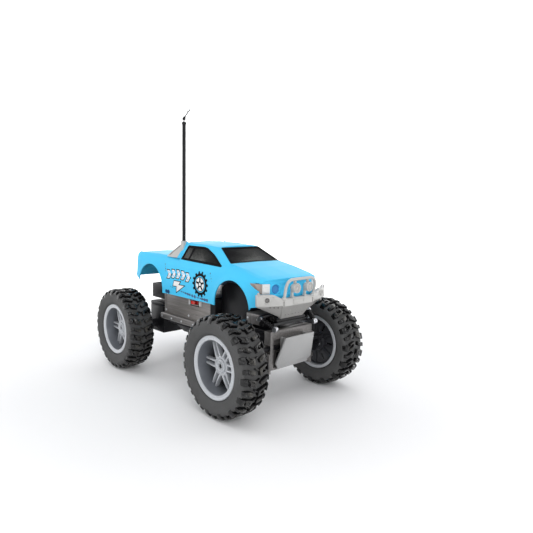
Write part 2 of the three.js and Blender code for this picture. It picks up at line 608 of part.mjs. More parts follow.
const BEAM_FRONT = 15.3;
const BEAM_HALF = 23.4;
const ARM_Z = 8.5;                // gap between the arms that hold the kingpin
function axleBeam() {
  const frame = cut(
    wide(CASE_FRONT + GAP, BEAM_FRONT, BEAM_HALF, CASE_BOTTOM, LID_TOP),
    wide(10, 30, 20.2, CASE_BOTTOM + 1.5, 15.5),
    wide(10, 14.9, 40, 5, 11.4),
  );
  const arms = [1, -1].map((side) => {
    const tab = (z0, z1) => box(-5, 5, ...span(side, CASE_HALF + GAP, KINGPIN_Y), z0, z1)
      .add(rodZ(0, side * KINGPIN_Y, 4.6, z0, z1, 16));
    return cut(
      join(
        box(-5, BEAM_FRONT - 0.4, ...span(side, CASE_HALF + GAP, CASE_HALF + 2.3), -ARM_Z - 2, 4.8),
        box(-5, 8, ...span(side, CASE_HALF + GAP, CASE_HALF + 2.3), 4, ARM_Z + 2),
        tab(ARM_Z, ARM_Z + 2),
        tab(-ARM_Z - 2, -ARM_Z),
      ),
      rodY(0, 0, 4.5, ...span(side, 20, 26), 16),
      rodZ(0, side * KINGPIN_Y, 1.4, -20, 20, 12),
    );
  });
  return join(frame, ...arms).subtract(wide(-30, CASE_FRONT + 0.1, CASE_HALF + 0.2, -30, 30));
}
add(frontUnit, 'front_axle_beam', axleBeam(), GREY);

const plateHalf = [[17.3, 17.6, -5.2], [18.1, 20, -2.6], [24.3, 15.9, 18]];
const plateRib = [[BEAM_FRONT + GAP, -6], [16.4, -6], [23, 17], [BEAM_FRONT + GAP, 17]];
const skidPlate = join(
  hull(mirrored([...plateHalf, ...plateHalf.map(([x, y, z]) => [x - 1.5, y, z])])),
  prismY([[BEAM_FRONT + GAP, -7.4], [16.6, -7.4], [17.2, -5], [BEAM_FRONT + GAP, -5]], -17, 17),
  prismY(plateRib, -13.5, -12),
  prismY(plateRib, 12, 13.5),
);
add(frontUnit, 'skid_plate', skidPlate, TRIM);

const SERVO_Z = -1.6;
const SERVO_R = 9.5;
const servo = box(10.3, 14.5, -12, 9, -6, 3.4).subtract(rodX(0, SERVO_Z, 1.2, 12.4, 20, 12));
add(frontUnit, 'steering_servo', servo, BLACK);
const servoArm = join(
  rodX(0, SERVO_Z, 2, 14.8, 15.9, 16),
  rodX(0, SERVO_Z, 0.9, 12.7, 15, 10),
  box(14.8, 15.9, -1.2, 1.2, SERVO_Z, SERVO_Z + SERVO_R),
  rodX(0, SERVO_Z + SERVO_R, 1.2, 14.8, 15.9, 12),
  rodX(0, SERVO_Z + SERVO_R, 0.9, 10.9, 15, 10),
);
add(frontUnit, 'servo_arm', servoArm, GEAR);

const STEER_PIN_R = 1;
const rodZ0 = TIE_ROD_Z - 1.3;
const rodZ1 = TIE_ROD_Z + 1.3;
const eye = (side) => box(8.6, 14.7, side * KINGPIN_Y - 3.4, side * KINGPIN_Y + 3.4, rodZ0, rodZ1);
const eyeSlot = (side) => box(9.7, 13.4, side * KINGPIN_Y - 1.25, side * KINGPIN_Y + 1.25, 0, 20);
const tieRod = join(
  wide(10.6, 13.6, KINGPIN_Y - 2, rodZ0, rodZ1),
  wide(10.6, 13.6, 3.4, 4.2, 11),
  eye(1),
  eye(-1),
).subtract(eyeSlot(1)).subtract(eyeSlot(-1)).subtract(wide(5, 20, 1.15, 5.4, 9.4));
add(frontUnit, 'tie_rod', tieRod, BLACK);

for (const [name, side] of [['knuckle_right', -1], ['knuckle_left', 1]]) {
  const drum = cut(
    rodY(0, 0, 7.1, ...span(side, 33, 43.5), 20),
    rodY(0, 0, 5.7, ...span(side, 30, 40.8), 20),
    rodY(0, 0, SHAFT_R + 0.35, ...span(side, 30, 50), 14),
  );
  const knuckle = join(
    drum,
    rodZ(0, side * KINGPIN_Y, 1.1, -ARM_Z - 1.8, -6.5, 12),
    rodZ(0, side * KINGPIN_Y, 1.1, 6.5, ARM_Z + 1.8, 12),
    box(5.1, 13.4, side * KINGPIN_Y - 2, side * KINGPIN_Y + 2, 3, 6),
    rodZ(STEER_ARM, side * KINGPIN_Y, STEER_PIN_R, 5.5, 9.9, 12),
  );
  add(frontUnit, name, knuckle, BLACK);
}

const CUP_R = 3.6;
const BALL_R = 2.3;
let driveShaft = rodY(0, 0, SHAFT_R, -34, 34, 12).add(finalGear());
for (const side of [1, -1]) {
  const cup = cut(
    rodY(0, 0, CUP_R, ...span(side, 32.6, 38.8), 16),
    rodY(0, 0, BALL_R + 0.4, ...span(side, 34, 42), 14),
    box(-0.95, 0.95, ...span(side, 35, 42), -5, 5),
  );
  driveShaft = driveShaft.add(cup);
}
add(frontUnit, 'front_drive_shaft', driveShaft, STEEL);

for (const [prefix, side] of [['front_right', -1], ['front_left', 1]]) {
  const stub = join(
    ball(0, side * KINGPIN_Y, 0, BALL_R, 12),
    rodZ(0, side * KINGPIN_Y, 0.5, -3.3, 3.3, 8),
    rodY(0, 0, SHAFT_R, ...span(side, KINGPIN_Y, 57), 12),
  );
  add(frontUnit, `${prefix}_axle`, stub, STEEL);
}
frontUnit.position.set(AXLE_X, 0, AXLE_Z);
truck.add(frontUnit);
placeWheel('front_right', AXLE_X, -1);
placeWheel('front_left', AXLE_X, 1);

export default truck;
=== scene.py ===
"""Looks of the radio-controlled monster truck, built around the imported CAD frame.

Lengths are in millimetres until a mesh is made, and metres after that. +X is the truck's
front, +Y its left, +Z up, with the origin on the ground below the middle of the wheelbase.
"""
import json
import math

import bmesh
import bpy
import numpy as np
from mathutils import Matrix, Vector
from mathutils.bvhtree import BVHTree

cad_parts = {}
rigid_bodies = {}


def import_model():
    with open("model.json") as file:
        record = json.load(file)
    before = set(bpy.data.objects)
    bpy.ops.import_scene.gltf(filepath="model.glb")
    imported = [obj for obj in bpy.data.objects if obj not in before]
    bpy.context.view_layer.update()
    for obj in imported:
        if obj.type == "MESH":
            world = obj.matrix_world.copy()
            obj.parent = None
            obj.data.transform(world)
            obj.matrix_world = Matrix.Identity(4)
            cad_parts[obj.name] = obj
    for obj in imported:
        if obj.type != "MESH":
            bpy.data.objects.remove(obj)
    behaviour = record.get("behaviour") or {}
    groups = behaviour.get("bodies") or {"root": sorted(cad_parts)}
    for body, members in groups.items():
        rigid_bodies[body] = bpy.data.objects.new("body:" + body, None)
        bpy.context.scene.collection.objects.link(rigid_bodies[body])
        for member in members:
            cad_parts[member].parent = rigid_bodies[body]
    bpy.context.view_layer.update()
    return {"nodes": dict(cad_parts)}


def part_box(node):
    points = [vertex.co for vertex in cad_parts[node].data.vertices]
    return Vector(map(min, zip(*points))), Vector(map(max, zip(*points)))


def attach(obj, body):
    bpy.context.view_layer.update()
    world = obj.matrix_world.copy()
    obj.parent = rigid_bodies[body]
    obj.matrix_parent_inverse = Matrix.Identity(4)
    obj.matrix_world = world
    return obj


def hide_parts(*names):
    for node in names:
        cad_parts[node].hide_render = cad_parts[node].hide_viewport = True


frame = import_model()

MM = 0.001
SMOOTH_ANGLE = math.radians(38)


def box_mm(node):
    """Lowest and highest corner of a CAD node, in millimetres."""
    low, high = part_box(node)
    return np.array(low) / MM, np.array(high) / MM


def centre_mm(node):
    low, high = box_mm(node)
    return (low + high) / 2


# ---- driving dimensions --------------------------------------------------------------
SHELL_WALL = 1.0
SILL_Z = 73.5
REAR_ARCH = (-62.5, 77.3, 21.4)      # x, z and radius of the wheel arches
FRONT_ARCH = (57.6, 75.0, 20.8)
CAB_REAR_X = -20.0                   # where the cab half of the body meets the bed
BED_REAR_X = -91.6
NOSE_LAMP = (18.3, 91.5)             # y and z of the round recesses beside the grille
SPOT_LAMP = (7.1, 92.6)              # y and z of the lamps inside the hoop
ANTENNA_FOOT_Z = 110.0

TYRE_R = box_mm("front_right_tyre")[1][2] / 2
LUG_PAIRS = 15
LUG_HEIGHT = 2.8
RIM_LOW, RIM_HIGH = box_mm("rear_left_rim")
RIM_R = (RIM_HIGH[2] - RIM_LOW[2]) / 2
RIM_HALF = (RIM_HIGH[1] - RIM_LOW[1]) / 2


# ---- mesh building -------------------------------------------------------------------
class Part:
    """A mesh in the making: points, faces and the material number of each face."""

    def __init__(self):
        self.points = []
        self.faces = []
        self.kinds = []

    def add(self, points, faces, kind=0):
        base = len(self.points)
        self.points.extend(tuple(p) for p in points)
        self.faces.extend(tuple(base + i for i in f) for f in faces)
        self.kinds.extend([kind] * len(faces))
        return self

    def merge(self, other, matrix=None, kind=None):
        """Adds another part, moved by a 4x4 matrix in millimetres."""
        points = other.points if matrix is None else [matrix @ Vector(p) for p in other.points]
        kinds = other.kinds if kind is None else [kind] * len(other.faces)
        self.add(points, other.faces)
        self.kinds[len(self.kinds) - len(kinds):] = kinds
        return self

    def mesh(self, name, materials):
        data = bpy.data.meshes.new(name)
        data.from_pydata([Vector(p) * MM for p in self.points], [], self.faces)
        for material in materials:
            data.materials.append(material)
        data.polygons.foreach_set("material_index", self.kinds)
        weld(data, 1e-6)
        data.shade_smooth()
        data.set_sharp_from_angle(angle=SMOOTH_ANGLE)
        return data


def weld(data, gap):
    """Welds the points of a mesh that lie this close and turns its faces outwards."""
    shape = bmesh.new()
    shape.from_mesh(data)
    bmesh.ops.remove_doubles(shape, verts=shape.verts, dist=gap)
    bmesh.ops.recalc_face_normals(shape, faces=shape.faces)
    shape.to_mesh(data)
    shape.free()


def show(name, part, looks, body, replaces=(), place=None):
    """Makes the object, puts it on its body and hides the CAD nodes that it stands for."""
    data = part if isinstance(part, bpy.types.Mesh) else part.mesh(name, [mat(look) for look in looks])
    piece = bpy.data.objects.new(name, data)
    bpy.context.scene.collection.objects.link(piece)
    if place is not None:
        piece.matrix_world = place
    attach(piece, body)
    if replaces:
        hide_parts(*replaces)


def turned(profile, steps, closed=True):
    """A ring of (radius, y) pairs turned about the Y axis."""
    part = Part()
    angles = np.linspace(0, 2 * math.pi, steps, endpoint=False)
    points = [(r * math.sin(a), y, r * math.cos(a)) for a in angles for r, y in profile]
    count = len(profile)
    spans = range(count if closed else count - 1)
    faces = []
    for i in range(steps):
        here, there = i * count, (i + 1) % steps * count
        for j in spans:
            k = (j + 1) % count
            faces.append((here + j, here + k, there + k, there + j))
    return part.add(points, faces)


def rounded(outline, radius, steps=4):
    """The outline with each corner replaced by an arc of about this radius."""
    out = []
    count = len(outline)
    for i, corner in enumerate(outline):
        p = np.array(corner, float)
        before = np.array(outline[i - 1], float) - p
        after = np.array(outline[(i + 1) % count], float) - p
        reach = min(radius, np.linalg.norm(before) * 0.45, np.linalg.norm(after) * 0.45)
        a = p + before / np.linalg.norm(before) * reach
        b = p + after / np.linalg.norm(after) * reach
        for t in np.linspace(0, 1, steps):
            out.append(tuple((1 - t) ** 2 * a + 2 * t * (1 - t) * p + t * t * b))
    return out


def pulled_in(outline, by):
    """The outline with every edge moved inwards."""
    pts = np.array(outline, float)
    nxt = np.roll(pts, -1, axis=0)
    area = np.sum(pts[:, 0] * nxt[:, 1] - nxt[:, 0] * pts[:, 1])
    edge = nxt - pts
    normal = np.stack([-edge[:, 1], edge[:, 0]], 1) * math.copysign(1, area)
    normal /= np.linalg.norm(normal, axis=1)[:, None]
    before = np.roll(normal, 1, axis=0)
    middle = before + normal
    middle /= np.maximum(np.sum(middle * middle, axis=1), 0.3)[:, None] / 2
    return pts + middle * by


def plate(outline, low, high, place, bevel=0.3, steps=2):
    """A slab with a bevelled top edge. place turns (a, b, height) into a point."""
    part = Part()
    rings = [(outline, low), (outline, high - bevel)]
    for k in range(1, steps + 1):
        angle = math.pi / 2 * k / steps
        inset = bevel * (1 - math.cos(angle))
        rings.append((pulled_in(outline, inset), high - bevel + bevel * math.sin(angle)))
    count = len(outline)
    points = [place(a, b, h) for ring, h in rings for a, b in ring]
    faces = []
    for k in range(len(rings) - 1):
        for i in range(count):
            j = (i + 1) % count
            faces.append((k * count + i, k * count + j, (k + 1) * count + j, (k + 1) * count + i))
    faces.append(tuple(range(count))[::-1])
    faces.append(tuple((len(rings) - 1) * count + i for i in range(count)))
    return part.add(points, faces)


def along_x(x0, sign=1):
    """Outline in Y and Z, height along X."""
    return lambda a, b, h: (x0 + sign * h, a, b)


def along_y(y0, sign=1):
    """Outline in X and Z, height along Y."""
    return lambda a, b, h: (a, y0 + sign * h, b)


def along_z(z0, sign=1):
    """Outline in X and Y, height along Z."""
    return lambda a, b, h: (a, b, z0 + sign * h)


def rectangle(a0, a1, b0, b1):
    return [(a0, b0), (a1, b0), (a1, b1), (a0, b1)]


def circle(a, b, radius, steps=32, start=0.0, turn=2 * math.pi):
    angles = np.linspace(start, start + turn, steps, endpoint=turn < 2 * math.pi - 1e-6)
    return [(a + radius * math.cos(t), b + radius * math.sin(t)) for t in angles]


def brick(low, high, bevel=0.35):
    """A box with all its edges bevelled."""
    shape = bmesh.new()
    bmesh.ops.create_cube(shape, size=1)
    low, high = np.array(low, float), np.array(high, float)
    for vertex in shape.verts:
        vertex.co = Vector((low + high) / 2 + np.array(vertex.co) * (high - low))
    bmesh.ops.bevel(shape, geom=shape.edges[:], offset=bevel, segments=2, affect="EDGES", profile=0.6)
    shape.verts.index_update()
    part = Part().add([v.co for v in shape.verts], [[v.index for v in f.verts] for f in shape.faces])
    shape.free()
    return part


def smooth_path(points, steps):
    """Catmull-Rom points through the given ones."""
    pts = np.array(points, float)
    ends = [2 * pts[0] - pts[1], *pts, 2 * pts[-1] - pts[-2]]
    out = []
    for i in range(len(pts) - 1):
        a, b, c, d = ends[i:i + 4]
        for t in np.linspace(0, 1, steps, endpoint=False):
            out.append(0.5 * (2 * b + (c - a) * t + (2 * a - 5 * b + 4 * c - d) * t ** 2
                              + (3 * b - a - 3 * c + d) * t ** 3))
    return np.array([*out, pts[-1]])


def tube(path, radius, sides=16):
    """A round bar along a path with domed ends. radius is a number or one for each point."""
    path = np.array(path, float)
    radii = np.broadcast_to(radius, len(path)).astype(float)
    tangents = np.gradient(path, axis=0)
    tangents /= np.linalg.norm(tangents, axis=1)[:, None]
    side = np.cross(tangents[0], (0.31, 0.52, 0.8))
    rings = []
    for p, t, r in zip(path, tangents, radii):
        side = side - t * (side @ t)
        side /= np.linalg.norm(side)
        rings.append((p, side.copy(), np.cross(t, side), r))
    caps = [(-math.sin(a), math.cos(a)) for a in (math.radians(75), math.radians(40))]
    first, last = rings[0], rings[-1]
    start = [(first[0] + tangents[0] * first[3] * back * 0.6, *first[1:3], first[3] * size)
             for back, size in caps]
    finish = [(last[0] - tangents[-1] * last[3] * back * 0.6, *last[1:3], last[3] * size)
              for back, size in caps[::-1]]
    rings = [*start, *rings, *finish]
    points = []
    for p, u, v, r in rings:
        for a in np.linspace(0, 2 * math.pi, sides, endpoint=False):
            points.append(p + r * (math.cos(a) * u + math.sin(a) * v))
    faces = []
    for k in range(len(rings) - 1):
        for i in range(sides):
            j = (i + 1) % sides
            faces.append((k * sides + i, k * sides + j, (k + 1) * sides + j, (k + 1) * sides + i))
    faces.append(tuple(range(sides))[::-1])
    faces.append(tuple((len(rings) - 1) * sides + i for i in range(sides)))
    return Part().add(points, faces)


def grid_faces(rows, columns, wrap=False):
    spans = columns if wrap else columns - 1
    return [(i * columns + j, i * columns + (j + 1) % columns,
             (i + 1) * columns + (j + 1) % columns, (i + 1) * columns + j)
            for i in range(rows - 1) for j in range(spans)]


def loose(name, part):
    """An object in millimetres for a boolean, in no collection that is shown."""
    data = bpy.data.meshes.new(name)
    data.from_pydata([Vector(p) for p in part.points], [], part.faces)
    weld(data, 1e-4)
    return bpy.data.objects.new(name, data)


def boolean(body, tool, operation):
    """Cuts one loose object with another, and removes the tool."""
    scene = bpy.context.scene.collection.objects
    scene.link(body)
    scene.link(tool)
    modifier = body.modifiers.new("cut", "BOOLEAN")
    modifier.object = tool
    modifier.operation = operation
    modifier.solver = "EXACT"
    graph = bpy.context.evaluated_depsgraph_get()
    made = bpy.data.meshes.new_from_object(body.evaluated_get(graph))
    scene.unlink(body)
    scene.unlink(tool)
    bpy.data.objects.remove(tool)
    body.modifiers.clear()
    body.data = made
    return body


def prism(outline, low, high, place):
    """A plain straight-sided cutter."""
    count = len(outline)
    points = [place(a, b, low) for a, b in outline] + [place(a, b, high) for a, b in outline]
    faces = [(i, (i + 1) % count, count + (i + 1) % count, count + i) for i in range(count)]
    faces += [tuple(range(count))[::-1], tuple(range(count, 2 * count))]
    return Part().add(points, faces)


# ---- materials -----------------------------------------------------------------------
def colour(r, g, b):
    return (r, g, b, 1.0)


TRIM_GREY = (0.46, 0.455, 0.44)
# Black painted on as shade, where parts run on into the dark under the body.
PAINTED_SHADE_BLACK = colour(0.008, 0.008, 0.009)


class Look:
    """A node material in the making."""

    def __init__(self, name):
        self.material = bpy.data.materials.new(name)
        self.material.use_nodes = True
        self.tree = self.material.node_tree
        self.shader = self.tree.nodes["Principled BSDF"]
        self.place = self.node("ShaderNodeTexCoord").outputs["Object"]

    def node(self, kind, **inputs):
        made = self.tree.nodes.new(kind)
        for name, value in inputs.items():
            made.inputs[name].default_value = value
        return made

    def link(self, source, target):
        self.tree.links.new(source, target)

    def scaled(self, factors):
        mapping = self.node("ShaderNodeMapping", Scale=factors)
        self.link(self.place, mapping.inputs["Vector"])
        return mapping.outputs["Vector"]

    def noise(self, scale, detail=3.0, rough=0.5, stretch=None):
        noise = self.node("ShaderNodeTexNoise", Scale=scale, Detail=detail, Roughness=rough)
        self.link(self.scaled(stretch) if stretch else self.place, noise.inputs["Vector"])
        return noise.outputs["Fac"]

    def ramp(self, source, stops):
        ramp = self.tree.nodes.new("ShaderNodeValToRGB")
        elements = ramp.color_ramp.elements
        for element, (position, value) in zip(elements, (stops[0], stops[-1])):
            element.position = position
            element.color = value
        for position, value in stops[1:-1]:
            elements.new(position).color = value
        self.link(source, ramp.inputs["Fac"])
        return ramp.outputs["Color"]

    def fill(self, socket, value):
        """Links a socket, or sets the value of one."""
        if isinstance(value, bpy.types.NodeSocket):
            self.link(value, socket)
        else:
            socket.default_value = value

    def math(self, operation, *values):
        made = self.tree.nodes.new("ShaderNodeMath")
        made.operation = operation
        for socket, value in zip(made.inputs, values):
            self.fill(socket, value)
        return made.outputs[0]

    def mix(self, factor, a, b):
        made = self.tree.nodes.new("ShaderNodeMix")
        made.data_type = "RGBA"
        for index, value in ((0, factor), (6, a), (7, b)):
            self.fill(made.inputs[index], value)
        return made.outputs[2]

    def length(self, vector):
        made = self.node("ShaderNodeVectorMath")
        made.operation = "LENGTH"
        self.link(vector, made.inputs[0])
        return made.outputs["Value"]

    def grey_range(self, source, low, high, start=0.0, end=1.0):
        """Turns start ... end into low ... high."""
        made = self.node("ShaderNodeMapRange")
        for name, value in (("From Min", start), ("From Max", end), ("To Min", low), ("To Max", high)):
            made.inputs[name].default_value = value
        self.link(source, made.inputs["Value"])
        return made.outputs["Result"]

    def paint_over(self, factor, value):
        """Mixes a plain colour over the base colour."""
        base = self.shader.inputs["Base Color"]
        self.link(self.mix(factor, base.links[0].from_socket, value), base)
        return self

    def bump(self, height, distance):
        bump = self.node("ShaderNodeBump", Distance=distance)
        self.link(height, bump.inputs["Height"])
        self.link(bump.outputs["Normal"], self.shader.inputs["Normal"])

    def plain(self, **values):
        for name, value in values.items():
            self.shader.inputs[name.replace("_", " ")].default_value = value
        return self


def moulded(name, base, rough=0.4, spread=0.06, variation=0.05, grain=0.02, grain_scale=2500.0, **values):
    """Moulded plastic: cloudy colour, uneven gloss and a fine skin texture."""
    look = Look(name)
    dark = colour(*(c * (1 - variation) for c in base))
    light = colour(*(min(1, c * (1 + variation)) for c in base))
    look.link(look.ramp(look.noise(60, 4), [(0.3, dark), (0.7, light)]), look.shader.inputs["Base Color"])
    gloss = look.grey_range(look.noise(220, 5, 0.6), rough - spread, rough + spread)
    look.link(gloss, look.shader.inputs["Roughness"])
    look.bump(look.noise(grain_scale, 2), grain * MM)
    look.plain(**values)
    return look


def brushed(name, base, rough=0.34, stretch=(0.04, 1.0, 1.0), streak=0.25, **values):
    """Satin plastic or metal with fine streaks along one axis."""
    look = Look(name)
    dark = colour(*(c * (1 - streak) for c in base))
    light = colour(*(min(1, c * (1 + streak)) for c in base))
    streaks = look.noise(900, 5, 0.65, stretch)
    look.link(look.ramp(streaks, [(0.32, dark), (0.68, light)]), look.shader.inputs["Base Color"])
    look.link(look.grey_range(streaks, rough + 0.08, rough - 0.06), look.shader.inputs["Roughness"])
    look.bump(streaks, 0.03 * MM)
    look.plain(**values)
    return look


def axis_value(look, axis, low, high):
    """Runs from 0 to 1 between two places, in millimetres, along an axis of the object."""
    split = look.node("ShaderNodeSeparateXYZ")
    look.link(look.place, split.inputs[0])
    return look.grey_range(split.outputs[axis], 0, 1, low * MM, high * MM)


def pane_look():
    """Smoked plastic with a soft printed sheen that lightens towards one corner."""
    look = Look("smoked_pane")
    cloud = look.noise(26, 1, 0.4, (1.0, 0.6, 1.3))
    streaks = look.noise(900, 3, 0.6, (0.5, 1.0, 0.04))
    mixed = look.math("MULTIPLY_ADD", streaks, 0.12, cloud)
    stops = [(0.5, colour(0.007, 0.007, 0.008)), (0.6, colour(0.03, 0.031, 0.03)), (0.74, colour(0.17, 0.17, 0.165))]
    look.link(look.ramp(mixed, stops), look.shader.inputs["Base Color"])
    return look.plain(Roughness=0.35, Specular_IOR_Level=0.015)


def box_look():
    """The brushed chassis box, painted black as shade where it runs on under the bonnet."""
    look = brushed("chassis_box", (0.22, 0.206, 0.196), 0.36, Metallic=0.35, Specular_IOR_Level=0.15)
    return look.paint_over(axis_value(look, "X", 23.4, 23.8), PAINTED_SHADE_BLACK)


def bracket_look():
    """The grey bracket over the front axle, painted black as shade at its open front end."""
    look = brushed("bracket_plastic", (0.19, 0.183, 0.178), 0.34, (1.0, 1.0, 0.05), Metallic=0.35)
    return look.paint_over(axis_value(look, "X", 81.0, 81.3), PAINTED_SHADE_BLACK)


def bumper_look():
    """Trim plastic, darker on the skirt that faces down: painted shade."""
    look = moulded("bumper_plastic", TRIM_GREY, 0.38, 0.06, 0.05, 0.03)
    return look.paint_over(axis_value(look, "Z", 79.6, 79.0), colour(0.33, 0.325, 0.315))


def tread_look():
    """Rubber that is darkest down between the lugs, which is painted shade, and catches a little dust on top of them.
    """
    look = moulded("tyre_tread", (0.006, 0.006, 0.007), 0.24, 0.08, 0.2, 0.03, 1500, Specular_IOR_Level=0.45)
    radius = look.length(look.scaled((1, 0, 1)))
    height = look.grey_range(radius, 0, 1, (TYRE_R - 2.2) * MM, (TYRE_R - 0.1) * MM)
    # Painted shade down between the lugs, and a little dust on top of them.
    groove_shade_and_dust = look.math("MULTIPLY", height, look.grey_range(look.noise(70, 4, 0.7), -1.2, 2.2))
    stops = [
        (0.0, colour(0.002, 0.002, 0.002)), (0.35, colour(0.007, 0.007, 0.008)), (0.9, colour(0.045, 0.042, 0.036)),
    ]
    look.link(look.ramp(groove_shade_and_dust, stops), look.shader.inputs["Base Color"])
    return look



M = {
    "paint": moulded("body_paint", (0.07, 0.54, 0.86), 0.34, 0.04, 0.03, 0.012, 1600, Specular_IOR_Level=0.05,
                     Coat_Weight=0.02, Coat_Roughness=0.12),
    # The inside of the shell is a darker copy of the body paint: painted shade.
    "paint_in_painted_shade": moulded("body_inside_painted_shade", (0.012, 0.05, 0.12), 0.6, variation=0.1),
    # The floors of the round nose recesses are a darker copy of the body paint: painted shade.
    "paint_recess_painted_shade": moulded("body_recess_painted_shade", (0.02, 0.22, 0.52), 0.3, variation=0.05),
    "trim": moulded("trim_plastic", TRIM_GREY, 0.36, 0.06, 0.05, 0.02),
    "skid": moulded("skid_plastic", (0.36, 0.36, 0.36), 0.38, 0.06, 0.04, 0.02),
    # A darker copy of the trim plastic, used as painted shade in grooves, recesses and holes.
    "trim_painted_shade": moulded("trim_plastic_painted_shade", (0.16, 0.155, 0.15), 0.45, 0.06, 0.08, 0.02),
    "black": moulded("black_plastic", (0.010, 0.010, 0.012), 0.4, 0.06, 0.2, 0.03, Specular_IOR_Level=0.2),
    "gloss_black": moulded("gloss_black_plastic", (0.006, 0.006, 0.007), 0.2, 0.03, 0.1, 0.012, Specular_IOR_Level=0.3),
    "glass": pane_look(),
    "chassis": brushed("chassis_plastic", (0.20, 0.19, 0.185), 0.36, Metallic=0.35),
    "box": box_look(),
    "bumper": bumper_look(),
    "bracket": bracket_look(),
    "rim": moulded("rim_plastic", (0.50, 0.515, 0.54), 0.34, 0.05, 0.05, 0.02, Metallic=0.25),
    # A darker copy of the rim plastic, painted shade inside the barrel.
    "rim_barrel_painted_shade": moulded("rim_barrel_painted_shade", (0.17, 0.18, 0.20), 0.36, 0.05, 0.06, 0.02, Metallic=0.25),
    # A darker copy of the rim plastic, painted shade on the web behind the spokes.
    "rim_inside_painted_shade": moulded("rim_web_painted_shade", (0.03, 0.031, 0.036), 0.42, 0.06, 0.12, 0.03),
    "sidewall": moulded("tyre_sidewall", (0.075, 0.075, 0.075), 0.75, 0.06, 0.12, 0.05, 1800, Specular_IOR_Level=0.25),
    "tread": tread_look(),
    "steel": brushed("plain_steel", (0.62, 0.63, 0.65), 0.3, (1, 0.05, 1), 0.08, Metallic=1.0),
    "brass": moulded("plain_brass", (0.72, 0.52, 0.22), 0.3, Metallic=1.0),
    "nylon": moulded("natural_nylon", (0.80, 0.76, 0.66), 0.4, Subsurface_Weight=0.1),
    "board": moulded("circuit_board", (0.03, 0.22, 0.08), 0.35, variation=0.15),
    "cell": moulded("cell_wrap", (0.05, 0.055, 0.07), 0.25),
    "red": moulded("red_plastic", (0.62, 0.02, 0.012), 0.28),
    "ink": moulded("black_ink", (0.006, 0.006, 0.007), 0.4, variation=0.2, Specular_IOR_Level=0.02),
    "navy": moulded("navy_ink", (0.012, 0.07, 0.2), 0.3, variation=0.2),
    "white": moulded("white_mark", (0.75, 0.75, 0.74), 0.4),
    "lens": moulded("headlight_lens", (0.72, 0.73, 0.73), 0.14, 0.03, 0.02, 0.01, Coat_Weight=0.6),
    "smoke": moulded("smoked_corner", (0.30, 0.25, 0.22), 0.22),
}


def mat(name):
    return M[name].material


# ---- body shell surface --------------------------------------------------------------
def table(x, *pairs):
    xs, ys = zip(*pairs)
    return np.interp(x, xs, ys)


def between(a, b, t):
    return tuple(p + (q - p) * t for p, q in zip(a, b))


def half_width(x):
    return table(x, (-95, 31.4), (-90, 33.6), (-84, 34.4), (70, 34.4), (82, 33.9), (88, 31.2))


def centre_height(x):
    return table(x, (-93, 109.3), (-60, 109.2), (-42, 108.6), (49, 108.3), (66, 105.2), (84, 100.2), (89, 98.2))


def nose_x(y):
    """How far forward the nose reaches at this distance from the middle plane."""
    return table(abs(y), (0, 92.6), (10, 92.4), (20, 91.2), (26, 89.6), (30, 87.4), (33, 84.6))


def section(x, cab):
    """Half of a cross-section, from the sill up to the middle: pairs of y and z."""
    w, top = half_width(x), centre_height(x)
    k = table(x, (50, 1.0), (88, 0.42))
    side = [
        (w - 0.6, 66), (w, 84), (w, top - 15.4 * k), (w - 1.2 * k, top - 8.4 * k), (w - 4.4 * k, top - 3.9 * k),
    ]
    if cab:
        rise = table(x, (-20, 1), (27.3, 1), (47.8, 0), (60, 0))
        belt = table(x, (-20, 1), (40, 1), (52, 0))
        crease_y = table(x, (27.5, 27.8), (47.8, 27.8), (88, 25.5))
        roof_y = table(x, (-20, 22.8), (27.5, 22.2))
        roof_z = table(x, (-20, 120.6), (0, 120.4), (27.5, 119.0))
        mid_z = table(x, (-20, 121.3), (5, 121.1), (27.5, 120.0))
        crease_z = top - 1.2 * k + 0.35
        corner = between((crease_y, crease_z), (roof_y, roof_z), rise)
        foot = between((w - 4.3, top - 3.4), corner, 0.12)
        base = between((w - 7.2 * k, top - 1.75 * k), foot, belt)
        mid = between((crease_y * 0.68, crease_z + 0.5), (15.5, mid_z), rise)
        return [*side, base, corner, mid, (0, mid[1] + 0.45)]
    q = table(x, (-90, 0.42), (-60, 0.75), (-24, 1))
    side = side[:2] + [(w - (w - a) * q, top - (top - b) * q) for a, b in side[2:]]
    rail = w - 8.2 * q
    return [*side, (rail, top - 0.9 * q), (rail - 1.8, top - 0.7), (rail - 3, top - 1.1), (0, top - 0.5)]


ROW_STEPS = (9, 8, 7, 5, 3, 10, 8, 10)
STATION_STEP = 1.3


def section_points(x, cab):
    corners = section(x, cab)
    out = []
    for a, b, steps in zip(corners, corners[1:], ROW_STEPS):
        out += [between(a, b, t) for t in np.linspace(0, 1, steps, endpoint=False)]
    return [*out, corners[-1]]


def blurred(points, passes, axis):
    """A few passes of averaging with the two neighbours, the ends held still."""
    for _ in range(passes):
        inner = (np.roll(points, 1, axis) + 2 * points + np.roll(points, -1, axis)) / 4
        keep = [slice(None)] * points.ndim
        keep[axis] = slice(1, -1)
        points = points.copy()
        points[tuple(keep)] = inner[tuple(keep)]
    return points


def arch_swell(x, z, y_side):
    """The raised lip round each wheel arch."""
    out = np.zeros_like(x)
    for cx, cz, r in (REAR_ARCH, FRONT_ARCH):
        d = np.hypot(x - cx, z - cz) - r
        out += 0.55 / (1 + np.exp(np.clip((d - 3.0) / 0.35, -30, 30))) + 0.3 * np.exp(-np.maximum(d, 0) ** 2 / 40)
    return out * np.clip((y_side - 28) / 4, 0, 1)


